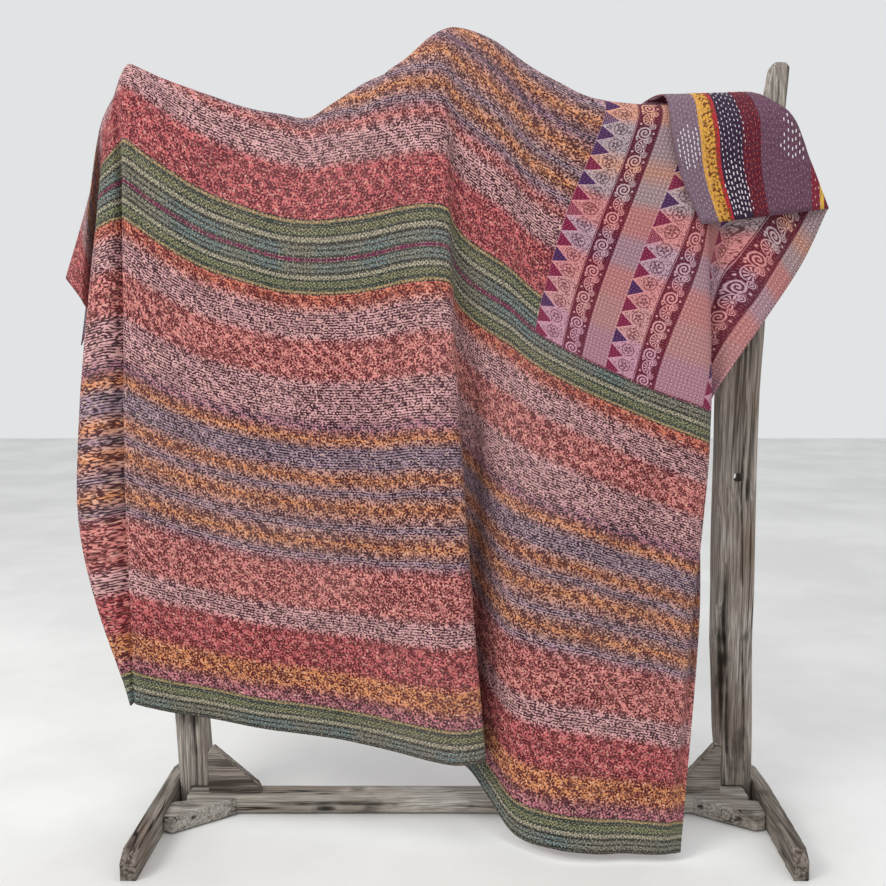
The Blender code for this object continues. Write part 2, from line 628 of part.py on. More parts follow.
def build_braces(stretcher_top, stretcher_front, left_face, right_face, old_wood, pale_wood, group):
    """Upright gussets between post and stretcher, flat struts between foot and stretcher."""
    base = stretcher_top + GAP
    thick = GUSSET_THICK / 2
    post_left_inner = POST_LEFT[0].x + POST_LEFT[0].half_wide + 0.001
    post_right_inner = POST_RIGHT[1].x - POST_RIGHT[1].half_wide - 0.001
    left = ((post_left_inner, base), (post_left_inner + 0.125, base),
            (post_left_inner + 0.118, base + 0.018), (post_left_inner + 0.012, base + 0.112),
            (post_left_inner, base + 0.100))
    right = ((post_right_inner - 0.110, base), (post_right_inner, base),
             (post_right_inner, base + 0.112), (post_right_inner - 0.012, base + 0.118),
             (post_right_inner - 0.104, base + 0.016))
    middle = STRETCHER_Y
    prism("gusset_left", left, middle - thick, middle + thick, "Y", old_wood, group)
    prism("gusset_right", right, middle - thick, middle + thick, "Y", old_wood, group)

    low = STRETCHER_BOTTOM
    inner = left_face + 0.001
    front = stretcher_front - GAP
    strut_left = ((inner, -0.165), (inner + 0.022, -0.172), (inner + 0.150, front),
                  (inner + 0.080, front), (inner, -0.100))
    prism("strut_left", strut_left, low, low + STRUT_HIGH, "Z", pale_wood, group)
    inner = right_face - 0.006
    strut_right = ((inner - 0.003, -0.155), (inner, -0.095), (inner - 0.072, front),
                   (inner - 0.150, front), (inner - 0.028, -0.162))
    prism("strut_right", strut_right, low, low + STRUT_HIGH, "Z", pale_wood, group)


def build_quilt(group):
    print_cloth = material("printed cotton", (0.42, 0.20, 0.21), 0.9)
    verts, faces = quilt_sheet()
    quilt = mesh_object("quilt", verts, faces, print_cloth, group)
    quilt.data.shade_smooth()
    thickness = quilt.modifiers.new("cloth layers", "SOLIDIFY")
    thickness.thickness = CLOTH_THICK
    thickness.offset = 0.0
    thickness.use_even_offset = False


def main():
    clear_scene()
    parts = collection("kantha_quilt_on_rack")
    cutters = collection("cutters")
    build_rack(parts, cutters)
    build_quilt(parts)
    for thing in list(parts.objects) + list(cutters.objects):
        thing.data.transform(Matrix.Translation((-MIDDLE_X, -MIDDLE_Y, 0.0)))


main()
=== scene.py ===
"""Looks of the kantha quilt on its weathered wooden rack.

Metres, +Z up, the viewer's side at -Y.  The quilt is one thin stitched sheet, laid out flat as
(s, t): s runs along its borders from the left side edge, t across them from the lower hem.  The
same (s, t) is its UV map, so prints, borders and stitches keep their places on the cloth; where
the folds are drawn tight or loose, they are drawn with them.
"""

from collections import namedtuple
import math
from random import Random

import bmesh
import bpy
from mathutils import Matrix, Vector, noise
from mathutils.bvhtree import BVHTree
from mathutils.geometry import barycentric_transform
import numpy as np


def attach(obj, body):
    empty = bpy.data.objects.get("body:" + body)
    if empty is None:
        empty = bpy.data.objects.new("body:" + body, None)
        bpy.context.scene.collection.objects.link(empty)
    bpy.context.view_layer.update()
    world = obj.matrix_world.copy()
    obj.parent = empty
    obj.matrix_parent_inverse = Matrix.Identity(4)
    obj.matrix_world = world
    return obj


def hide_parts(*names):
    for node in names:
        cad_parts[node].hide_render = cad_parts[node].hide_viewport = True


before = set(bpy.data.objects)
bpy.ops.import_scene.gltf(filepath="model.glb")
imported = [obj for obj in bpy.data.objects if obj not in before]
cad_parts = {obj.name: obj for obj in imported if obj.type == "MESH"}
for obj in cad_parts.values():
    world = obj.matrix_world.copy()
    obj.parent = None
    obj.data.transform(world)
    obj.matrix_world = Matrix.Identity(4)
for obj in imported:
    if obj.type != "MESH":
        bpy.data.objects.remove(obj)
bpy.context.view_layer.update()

# ---------------------------------------------------------------- sizes of the quilt (metres)
CLOTH_LONG = 1.90           # cut size along the borders
CLOTH_ACROSS = 2.02         # cut size across them
SARI_WIDTH = 1.16           # hem to the seam between the two sari lengths
CLOTH_THICK = 0.003
CROWN_RADIUS = 0.033        # the cloth's bend over the top rail
FOLD_LIFT = 0.011           # half the space inside the folded-over corner, at its crease
RAIL_TOP_MIDDLE = 1.619
RAIL_RISE = 0.035
MIDDLE_X = -0.0195          # middle of the whole object's plan, from midway between the posts
MIDDLE_Y = -0.115

# ---------------------------------------------------------------- the quilt's fold lines
# s runs along the borders from the left side edge, t across them from the lower hem.
# Left to right; "s" is the place on the flat cloth, x, y and z the place in space.
Hem = namedtuple("Hem", "fold s x y z")
HEM = (
    Hem("left side edge", 0.000, -0.690, 0.000, 0.300),
    Hem("strip turned under", 0.050, -0.722, -0.014, 0.272),
    Hem("strip outer fold", 0.095, -0.747, -0.030, 0.250),
    Hem("strip face", 0.115, -0.742, -0.042, 0.256),
    Hem("left crease", 0.130, -0.734, -0.040, 0.262),
    Hem("panel edge", 0.145, -0.725, -0.060, 0.265),
    Hem("first sag", 0.235, -0.637, -0.078, 0.252),
    Hem("second sag", 0.330, -0.543, -0.088, 0.242),
    Hem("left swell", 0.445, -0.430, -0.112, 0.229),
    Hem("left middle", 0.550, -0.325, -0.128, 0.221),
    Hem("rail notch", 0.635, -0.240, -0.138, 0.213),
    Hem("notch flank", 0.720, -0.155, -0.158, 0.203),
    Hem("rise foot", 0.787, -0.090, -0.168, 0.191),
    Hem("rise", 0.850, -0.030, -0.188, 0.183),
    Hem("lip swell", 0.918, 0.037, -0.206, 0.180),
    Hem("deep lip", 0.980, 0.094, -0.200, 0.188),
    Hem("deep fold", 1.150, 0.012, -0.070, 0.150),
    Hem("deep fold back", 1.290, 0.062, -0.085, 0.116),
    Hem("right start", 1.370, 0.107, -0.160, 0.080),
    Hem("right flank", 1.455, 0.160, -0.222, 0.028),
    Hem("right swell", 1.550, 0.245, -0.278, 0.024),
    Hem("first pallu", 1.640, 0.330, -0.290, 0.020),
    Hem("second pallu", 1.700, 0.388, -0.284, 0.019),
    Hem("right middle", 1.765, 0.446, -0.288, 0.018),
    Hem("right lip", 1.815, 0.478, -0.287, 0.018),
    Hem("right valley", 1.845, 0.492, -0.285, 0.019),
    Hem("wing inner", 1.865, 0.499, -0.284, 0.019),
    Hem("wing outer", 1.885, 0.506, -0.283, 0.020),
    Hem("wing tip", 1.893, 0.509, -0.2825, 0.020),
    Hem("right side edge", 1.900, 0.512, -0.282, 0.020),
)

# Between hem and seam: how far up each fold bends, as a share, and how far it stands off the
# straight line there.
Knee = namedtuple("Knee", "fold share aside forward")
KNEE = (
    Knee("left side edge", 0.36, -0.062, 0.012),
    Knee("strip turned under", 0.36, -0.086, 0.006),
    Knee("strip outer fold", 0.36, -0.092, 0.002),
    Knee("strip face", 0.40, -0.052, 0.012),
    Knee("left crease", 0.50, 0.000, -0.004),
    Knee("panel edge", 0.50, -0.008, 0.006),
    Knee("first sag", 0.50, -0.006, 0.004),
    Knee("second sag", 0.50, -0.004, -0.004),
    Knee("left swell", 0.50, 0.006, 0.010),
    Knee("left middle", 0.50, 0.006, 0.002),
    Knee("rail notch", 0.50, 0.000, 0.008),
    Knee("notch flank", 0.50, -0.002, -0.004),
    Knee("rise foot", 0.50, -0.006, 0.006),
    Knee("rise", 0.50, -0.006, -0.002),
    Knee("lip swell", 0.50, -0.008, 0.006),
    Knee("deep lip", 0.50, -0.006, 0.000),
    Knee("deep fold", 0.50, 0.020, -0.012),
    Knee("deep fold back", 0.50, 0.020, -0.018),
    Knee("right start", 0.50, 0.000, -0.024),
    Knee("right flank", 0.50, -0.006, -0.020),
    Knee("right swell", 0.50, -0.006, -0.018),
    Knee("first pallu", 0.50, 0.008, -0.026),
    Knee("second pallu", 0.50, 0.006, -0.018),
    Knee("right middle", 0.50, 0.016, -0.024),
    Knee("right lip", 0.50, 0.012, -0.024),
    Knee("right valley", 0.50, 0.024, -0.028),
    Knee("wing inner", 0.50, 0.022, -0.028),
    Knee("wing outer", 0.50, 0.020, -0.028),
    Knee("wing tip", 0.50, 0.020, -0.028),
    Knee("right side edge", 0.50, 0.021, -0.028),
)

# Along the seam between the two sari lengths, t = SARI_WIDTH.
Seam = namedtuple("Seam", "fold s x y z")
SEAM = (
    Seam("left side edge", 0.000, -0.708, 0.048, 1.345),
    Seam("strip turned under", 0.090, -0.760, 0.036, 1.395),
    Seam("strip outer fold", 0.170, -0.780, -0.030, 1.436),
    Seam("strip face", 0.220, -0.740, -0.050, 1.462),
    Seam("left crease", 0.255, -0.7225, -0.036, 1.474),
    Seam("panel edge", 0.285, -0.714, -0.056, 1.474),
    Seam("first sag", 0.375, -0.639, -0.060, 1.420),
    Seam("second sag", 0.490, -0.537, -0.066, 1.360),
    Seam("left swell", 0.585, -0.450, -0.070, 1.328),
    Seam("left middle", 0.675, -0.365, -0.071, 1.304),
    Seam("rail notch", 0.765, -0.279, -0.080, 1.297),
    Seam("notch flank", 0.825, -0.220, -0.080, 1.301),
    Seam("rise foot", 0.880, -0.164, -0.088, 1.308),
    Seam("rise", 0.965, -0.080, -0.086, 1.326),
    Seam("lip swell", 1.025, -0.020, -0.098, 1.330),
    Seam("deep lip", 1.060, 0.011, -0.098, 1.322),
    Seam("deep fold", 1.100, 0.024, -0.070, 1.290),
    Seam("deep fold back", 1.140, 0.052, -0.064, 1.255),
    Seam("right start", 1.195, 0.092, -0.070, 1.225),
    Seam("right flank", 1.270, 0.148, -0.081, 1.190),
    Seam("right swell", 1.345, 0.202, -0.086, 1.144),
    Seam("first pallu", 1.430, 0.278, -0.092, 1.100),
    Seam("second pallu", 1.525, 0.363, -0.089, 1.059),
    Seam("right middle", 1.630, 0.461, -0.092, 1.016),
    Seam("right lip", 1.785, 0.603, -0.092, 0.962),
    Seam("right valley", 1.825, 0.574, -0.056, 0.966),
    Seam("wing inner", 1.850, 0.582, -0.046, 0.962),
    Seam("wing outer", 1.875, 0.591, -0.051, 0.956),
    Seam("wing tip", 1.888, 0.596, -0.056, 0.953),
    Seam("right side edge", 1.900, 0.600, -0.061, 0.950),
)

# Where each fold crosses the top, its place on the flat cloth and how it hangs behind:
# tail_x is the sideways swing of the free back edge, tail_y how far behind the rack it hangs.
Crown = namedtuple("Crown", "fold s t x z tail_x tail_y")
CROWN = (
    Crown("panel edge", 0.290, 1.450, -0.708, 1.739, -0.105, 0.128),
    Crown("first sag", 0.365, 1.465, -0.640, 1.710, -0.060, 0.120),
    Crown("second sag", 0.455, 1.490, -0.545, 1.676, -0.030, 0.075),
    Crown("left swell", 0.550, 1.500, -0.439, 1.642, -0.010, 0.110),
    Crown("left middle", 0.625, 1.510, -0.360, 1.628, 0.000, 0.080),
    Crown("rail notch", 0.668, 1.520, -0.312, 1.622, 0.010, 0.065),
    Crown("notch flank", 0.740, 1.545, -0.245, 1.656, 0.012, 0.095),
    Crown("rise foot", 0.805, 1.580, -0.184, 1.694, 0.015, 0.070),
    Crown("rise", 0.890, 1.610, -0.097, 1.742, 0.010, 0.095),
    Crown("lip swell", 0.970, 1.670, -0.027, 1.800, 0.010, 0.075),
    Crown("deep lip", 1.003, 1.695, 0.003, 1.815, 0.005, 0.085),
    Crown("deep fold", 1.020, 1.710, 0.018, 1.819, 0.002, 0.092),
    Crown("deep fold back", 1.040, 1.725, 0.034, 1.819, 0.002, 0.088),
    Crown("right start", 1.075, 1.740, 0.065, 1.812, 0.000, 0.078),
    Crown("right flank", 1.130, 1.765, 0.122, 1.787, 0.000, 0.070),
    Crown("right swell", 1.200, 1.780, 0.192, 1.738, 0.000, 0.066),
)

# Right of the turning point the quilt's corner is folded over, and each fold ends on that slanting
# crease instead of the back edge.  run is the way down the back from the crown, along the cloth:
# first to the crease, then, for the same fold in the turned corner, to its free edge.
Turn = namedtuple("Turn", "fold s t x z crease_x crease_run edge_x edge_run")
TURN = (
    Turn("first pallu", 1.270, 1.785, 0.265, 1.697, 0.275, 0.216, 0.262, 0.198),
    Turn("second pallu", 1.325, 1.785, 0.335, 1.666, 0.350, 0.174, 0.313, 0.174),
    Turn("right middle", 1.440, 1.790, 0.462, 1.650, 0.475, 0.114, 0.378, 0.114),
    Turn("right lip", 1.545, 1.800, 0.575, 1.652, 0.590, 0.059, 0.437, 0.059),
    Turn("right valley", 1.600, 1.805, 0.622, 1.653, 0.655, 0.027, 0.471, 0.027),
)

# The last folds rise slantwise in front of the right post and turn over before or on the rail:
# four steps up each one, the last of them on the crease.
Rise = namedtuple("Rise", "fold step s t x y z")
WING = (
    Rise("wing inner", 1, 1.716, 1.740, 0.672, -0.042, 1.590),
    Rise("wing inner", 2, 1.700, 1.780, 0.684, -0.037, 1.628),
    Rise("wing inner", 3, 1.688, 1.802, 0.692, -0.025, 1.652),
    Rise("wing inner", 4, 1.676, 1.820, 0.698, -0.004, 1.667),
    Rise("wing outer", 1, 1.795, 1.600, 0.706, -0.056, 1.430),
    Rise("wing outer", 2, 1.777, 1.680, 0.732, -0.055, 1.510),
    Rise("wing outer", 3, 1.760, 1.740, 0.751, -0.053, 1.575),
    Rise("wing outer", 4, 1.745, 1.787, 0.764, -0.058, 1.622),
    Rise("wing tip", 1, 1.862, 1.470, 0.722, -0.062, 1.250),
    Rise("wing tip", 2, 1.849, 1.580, 0.760, -0.062, 1.350),
    Rise("wing tip", 3, 1.836, 1.680, 0.790, -0.062, 1.440),
    Rise("wing tip", 4, 1.824, 1.747, 0.811, -0.072, 1.518),
    Rise("right side edge", 1, 1.900, 1.290, 0.656, -0.069, 1.060),
    Rise("right side edge", 2, 1.900, 1.430, 0.732, -0.071, 1.175),
    Rise("right side edge", 3, 1.900, 1.590, 0.806, -0.072, 1.295),
    Rise("right side edge", 4, 1.900, 1.710, 0.852, -0.082, 1.408),
)

# Free edge of the turned corner for those same folds, out in front of the rail.
TURNED_EDGE = (
    Rise("wing inner", 4, 1.600, 2.020, 0.500, -0.002, 1.672),
    Rise("wing outer", 4, 1.690, 2.020, 0.508, -0.061, 1.575),
    Rise("wing tip", 4, 1.795, 2.020, 0.529, -0.072, 1.478),
    Rise("right side edge", 4, 1.900, 2.020, 0.574, -0.084, 1.375),
)

# The left end wraps round the left post like the corner of a table cloth.
WRAP = (
    Rise("left side edge", 1, 0.000, 1.300, -0.735, 0.048, 1.400),
    Rise("left side edge", 2, 0.000, 1.440, -0.776, 0.041, 1.416),
    Rise("left side edge", 3, 0.000, 1.700, -0.826, 0.048, 1.290),
    Rise("left side edge", 4, 0.000, 2.020, -0.864, 0.056, 1.108),
    Rise("strip turned under", 1, 0.085, 1.300, -0.760, 0.020, 1.450),
    Rise("strip turned under", 2, 0.080, 1.440, -0.786, 0.018, 1.510),
    Rise("strip turned under", 3, 0.080, 1.700, -0.818, 0.026, 1.370),
    Rise("strip turned under", 4, 0.080, 2.020, -0.832, 0.030, 1.175),
    Rise("strip outer fold", 1, 0.165, 1.300, -0.768, -0.030, 1.530),
    Rise("strip outer fold", 2, 0.160, 1.430, -0.775, -0.006, 1.608),
    Rise("strip outer fold", 3, 0.158, 1.660, -0.814, 0.010, 1.450),
    Rise("strip outer fold", 4, 0.155, 2.020, -0.842, 0.006, 1.214),
    Rise("strip face", 1, 0.226, 1.340, -0.750, -0.034, 1.600),
    Rise("strip face", 2, 0.232, 1.440, -0.744, 0.004, 1.678),
    Rise("strip face", 3, 0.230, 1.640, -0.792, 0.042, 1.560),
    Rise("strip face", 4, 0.225, 2.020, -0.891, 0.050, 1.265),
    Rise("left crease", 1, 0.262, 1.390, -0.724, -0.030, 1.690),
    Rise("left crease", 2, 0.270, 1.440, -0.719, 0.000, 1.728),
    Rise("left crease", 3, 0.272, 1.560, -0.754, 0.046, 1.660),
    Rise("left crease", 4, 0.275, 2.020, -0.878, 0.108, 1.228),
)


def spline(points, parts):
    """Centripetal curve through points (tuples of any length), parts[i] steps to each span."""
    def gap(first, second):
        return max(1e-6, math.dist(first[:3], second[:3]) ** 0.5)

    def mix(first, second, start, end, at):
        share = (at - start) / (end - start)
        return [a + (b - a) * share for a, b in zip(first, second)]

    before = [2 * a - b for a, b in zip(points[0], points[1])]
    after = [2 * a - b for a, b in zip(points[-1], points[-2])]
    chain = [before, *points, after]
    curve = [list(points[0])]
    for span, steps in enumerate(parts):
        p0, p1, p2, p3 = chain[span:span + 4]
        k1 = gap(p0, p1)
        k2 = k1 + gap(p1, p2)
        k3 = k2 + gap(p2, p3)
        for step in range(1, steps + 1):
            at = k1 + (k2 - k1) * step / steps
            a1 = mix(p0, p1, 0.0, k1, at)
            a2 = mix(p1, p2, k1, k2, at)
            a3 = mix(p2, p3, k2, k3, at)
            b1 = mix(a1, a2, 0.0, k2, at)
            b2 = mix(a2, a3, k1, k3, at)
            curve.append(mix(b1, b2, k1, k2, at))
    return curve


def over_rail(x, crown_z, run, lift=0.0):
    """Place at a run along the cloth behind (+) or before (-) the crown, lift above it."""
    radius = CROWN_RADIUS + lift
    quarter = radius * math.pi / 2
    middle_z = crown_z - CROWN_RADIUS
    if abs(run) <= quarter:
        angle = run / radius
        return (x, radius * math.sin(angle), middle_z + radius * math.cos(angle))
    return (x, math.copysign(radius, run), middle_z - (abs(run) - quarter))


def fold_path(fold):
    """Places (x, y, z, s, t) up one fold: hem, knee, seam, then four over the top or the crease."""
    hem = next(row for row in HEM if row.fold == fold)
    knee = next(row for row in KNEE if row.fold == fold)
    seam = next(row for row in SEAM if row.fold == fold)
    path = [(hem.x, hem.y, hem.z, hem.s, 0.0)]
    straight = Vector((hem.x, hem.y, hem.z)).lerp(Vector((seam.x, seam.y, seam.z)), knee.share)
    knee_s = hem.s + (seam.s - hem.s) * knee.share
    path.append((straight.x + knee.aside, straight.y - knee.forward, straight.z,
                 knee_s, SARI_WIDTH * knee.share))
    path.append((seam.x, seam.y, seam.z, seam.s, SARI_WIDTH))
    quarter = CROWN_RADIUS * math.pi / 2
    for row in CROWN:
        if row.fold == fold:
            for run in (-quarter, 0.0, quarter):
                path.append((*over_rail(row.x, row.z, run), row.s, row.t + run))
            fall = CLOTH_ACROSS - row.t
            tail_z = over_rail(row.x, row.z, fall)[2]
            path.append((row.x + row.tail_x, row.tail_y, tail_z, row.s, CLOTH_ACROSS))
    for row in TURN:
        if row.fold == fold:
            path.append((*over_rail(row.x, row.z, -quarter), row.s, row.t - quarter))
            path.append((*over_rail(row.x, row.z, 0.0), row.s, row.t))
            half_way = row.crease_run / 2
            half_x = (row.x + row.crease_x) / 2
            path.append((*over_rail(half_x, row.z, half_way), row.s, row.t + half_way))
            crease = over_rail(row.crease_x, row.z, row.crease_run, FOLD_LIFT)
            path.append((*crease, row.s, row.t + row.crease_run))
    for row in WING + WRAP:
        if row.fold == fold:
            path.append((row.x, row.y, row.z, row.s, row.t))
    return path


def turned_edge_path():
    """Free edge of the turned corner (x, y, z, s, t), one place for each fold from the first on."""
    path = []
    for row in TURN:
        edge = over_rail(row.edge_x, row.z, row.edge_run, 2 * FOLD_LIFT)
        path.append((*edge, row.s, CLOTH_ACROSS))
    for row in TURNED_EDGE:
        path.append((row.x, row.y, row.z, row.s, row.t))
    return path


UP_STEPS = (34, 34, 26, 14, 12, 12)     # mesh steps from level to level, hem to tail
ACROSS_STEPS = 7                        # mesh steps from fold to fold
TURNED_STEPS = 24                       # mesh steps across the turned corner, past the roll
ROLL_STEPS = 6                          # mesh steps round the roll of the crease
ROLL_REACH = 0.012                      # how far in from the crease the roll goes
FIRST_TURN = 21                         # number of the fold where the crease begins

# Soft creases and ridges on the flat cloth: from one end (s, t) to the other, how wide, and how
# high they stand (below nought: a trough).
Crease = namedtuple("Crease", "s1 t1 s2 t2 wide rise")
CREASES = (
    Crease(0.315, 1.46, 0.330, 1.08, 0.016, -0.0060),
    Crease(0.365, 1.40, 0.420, 0.98, 0.030, 0.0035),
    Crease(0.300, 1.05, 0.210, 0.30, 0.034, -0.0040),
    Crease(0.210, 0.95, 0.190, 0.20, 0.026, 0.0035),
    Crease(0.440, 1.00, 0.400, 0.35, 0.040, -0.0030),
    Crease(0.520, 1.42, 0.560, 1.18, 0.030, -0.0040),
    Crease(0.860, 1.61, 0.745, 1.40, 0.014, -0.0075),
    Crease(0.900, 1.58, 0.800, 1.33, 0.024, 0.0040),
    Crease(0.690, 1.52, 0.720, 1.20, 0.028, -0.0045),
    Crease(0.960, 1.62, 0.900, 1.22, 0.022, -0.0040),
    Crease(0.660, 0.95, 0.620, 0.40, 0.046, 0.0035),
    Crease(0.840, 1.00, 0.790, 0.30, 0.040, -0.0040),
    Crease(0.940, 0.80, 0.880, 0.12, 0.032, 0.0040),
    Crease(1.185, 1.72, 1.330, 1.30, 0.026, -0.0045),
    Crease(1.110, 1.72, 1.215, 1.28, 0.022, 0.0035),
    Crease(1.300, 1.70, 1.440, 1.36, 0.030, 0.0030),
    Crease(1.430, 1.02, 1.560, 0.45, 0.040, -0.0040),
    Crease(1.530, 0.98, 1.680, 0.30, 0.036, 0.0040),
    Crease(1.640, 1.10, 1.740, 0.60, 0.028, -0.0035),
    Crease(1.500, 0.42, 1.560, 0.06, 0.026, 0.0045),
    Crease(1.640, 0.40, 1.690, 0.05, 0.024, -0.0040),
    Crease(1.300, 0.90, 1.420, 0.30, 0.030, 0.0035),
)
SLACK = 0.0016              # height of the slow waves all over the cloth
PUCKER = 0.0006             # height of the puckers between rows of stitches


def relief(s, t):
    """Height of the cloth's creases, slow waves and puckers at a place on the flat cloth."""
    height = 0.0
    for row in CREASES:
        run = Vector((row.s2 - row.s1, row.t2 - row.t1))
        off = Vector((s - row.s1, t - row.t1))
        share = max(0.0, min(1.0, off.dot(run) / run.length_squared))
        away = (off - run * share).length / row.wide
        if away < 3:
            height += row.rise * math.exp(-away * away) * (0.35 + 0.65 * math.sin(math.pi * share))
    height += SLACK * noise.noise(Vector((s * 11.0, t * 6.0, 3.1)))
    height += PUCKER * noise.noise(Vector((s * 70.0, t * 95.0, 7.7)))
    return height


def quilt_surface():
    """The quilt's middle surface as (places, flat places, faces), with the corner folded over."""
    folds = [row.fold for row in HEM]
    columns = [spline(fold_path(fold), UP_STEPS) for fold in folds]
    spans = [ACROSS_STEPS] * (len(folds) - 1)
    levels = [spline([column[level] for column in columns], spans)
              for level in range(sum(UP_STEPS) + 1)]
    places = [place[:3] for level in levels for place in level]
    flats = [place[3:] for level in levels for place in level]
    wide = len(levels[0])
    faces = []
    for up in range(len(levels) - 1):
        for across in range(wide - 1):
            low = up * wide + across
            faces.append((low, low + 1, low + wide + 1, low + wide))
    crease = levels[-1][FIRST_TURN * ACROSS_STEPS:]
    edge = spline(turned_edge_path(), [ACROSS_STEPS] * (len(TURN) + len(TURNED_EDGE) - 1))
    below = [(len(levels) - 1) * wide + FIRST_TURN * ACROSS_STEPS + n for n in range(len(crease))]
    for step in range(1, ROLL_STEPS + TURNED_STEPS + 1):
        row = []
        for start, end in zip(crease, edge):
            row.append(len(places))
            place, share = turned_place(Vector(start[:3]), Vector(end[:3]), step)
            places.append(place)
            flats.append([a + (b - a) * share for a, b in zip(start[3:], end[3:])])
        for number in range(len(crease) - 1):
            faces.append((below[number], below[number + 1], row[number + 1], row[number]))
        below = row
    return places, flats, faces


def turned_place(crease, edge, step):
    """Place on the turned corner, and its share of the way from the crease to the free edge."""
    width = (edge - crease).length
    reach = min(ROLL_REACH, width / 2)
    if step <= ROLL_STEPS:
        quarter = math.pi / 2 * step / ROLL_STEPS
        along = reach * (1 - math.cos(quarter))
        rise = FOLD_LIFT * math.sin(quarter)
    else:
        along = reach + (width - reach) * (step - ROLL_STEPS) / TURNED_STEPS
        rise = FOLD_LIFT
    share = along / width
    return tuple(crease.lerp(edge, share) + outward_of(crease) * rise * (1 - share)), share


def outward_of(place):
    """Direction away from the rail at a place on the folded corner."""
    below_crown = place.z - (RAIL_TOP_MIDDLE + RAIL_RISE * place.x)
    side = -1.0 if place.y < 0 else 1.0
    reach = max(0.0, min(1.0, abs(place.y) / CROWN_RADIUS))
    if below_crown < 0:
        reach = 1.0
    return Vector((0.0, side * reach, math.sqrt(1 - reach ** 2))).normalized()


def mesh_piece(name, places, faces):
    mesh = bpy.data.meshes.new(name)
    mesh.from_pydata(places, [], faces)
    mesh.update()
    piece = bpy.data.objects.new(name, mesh)
    bpy.context.scene.collection.objects.link(piece)
    return piece


def plain_mesh(piece):
    """Bakes a piece's modifiers into its mesh."""
    bpy.context.view_layer.update()
    seen = piece.evaluated_get(bpy.context.evaluated_depsgraph_get())
    made = bpy.data.meshes.new_from_object(seen)
    made.name = piece.name
    piece.modifiers.clear()
    piece.data = made
    return piece


def build_quilt(finishes):
    """The quilt as a closed thin sheet: printed face, pieced reverse and turned edge.

    Hands back a finder for places on its middle surface.
    """
    places, flats, faces = quilt_surface()
    quilt = mesh_piece("quilt_cloth", places, faces)
    mesh = quilt.data
    count = len(mesh.vertices)
    normals = np.empty(count * 3, np.float32)
    mesh.vertex_normals.foreach_get("vector", normals)
    spots = np.array(places, np.float32)
    heights = np.array([relief(s, t) for s, t in flats], np.float32)
    spots += normals.reshape(-1, 3) * heights[:, None]
    spots -= np.array([MIDDLE_X, MIDDLE_Y, 0.0], np.float32)
    mesh.vertices.foreach_set("co", spots.ravel())
    frame_at = cloth_finder(spots.tolist(), flats, faces)
    flat_map = mesh.uv_layers.new(name="flat")
    corners = np.empty(len(mesh.loops), np.int32)
    mesh.loops.foreach_get("vertex_index", corners)
    flat_map.data.foreach_set("uv", np.array(flats, np.float32)[corners].ravel())
    mesh.shade_smooth()
    mesh.update()
    for finish in finishes:
        mesh.materials.append(finish)
    layers = quilt.modifiers.new("cloth layers", "SOLIDIFY")
    layers.thickness = CLOTH_THICK
    layers.offset = 0.0
    layers.material_offset = 1
    layers.material_offset_rim = 2
    plain_mesh(quilt)
    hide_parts("quilt")
    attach(quilt, "root")
    return frame_at


# ---------------------------------------------------------------- shader steps
def tint(red, green, blue):
    """A colour given as it looks, 0 to 255, as the light values shaders work in."""
    return tuple(((part / 255 + 0.055) / 1.055) ** 2.4 if part > 10 else part / 255 / 12.92
                 for part in (red, green, blue))


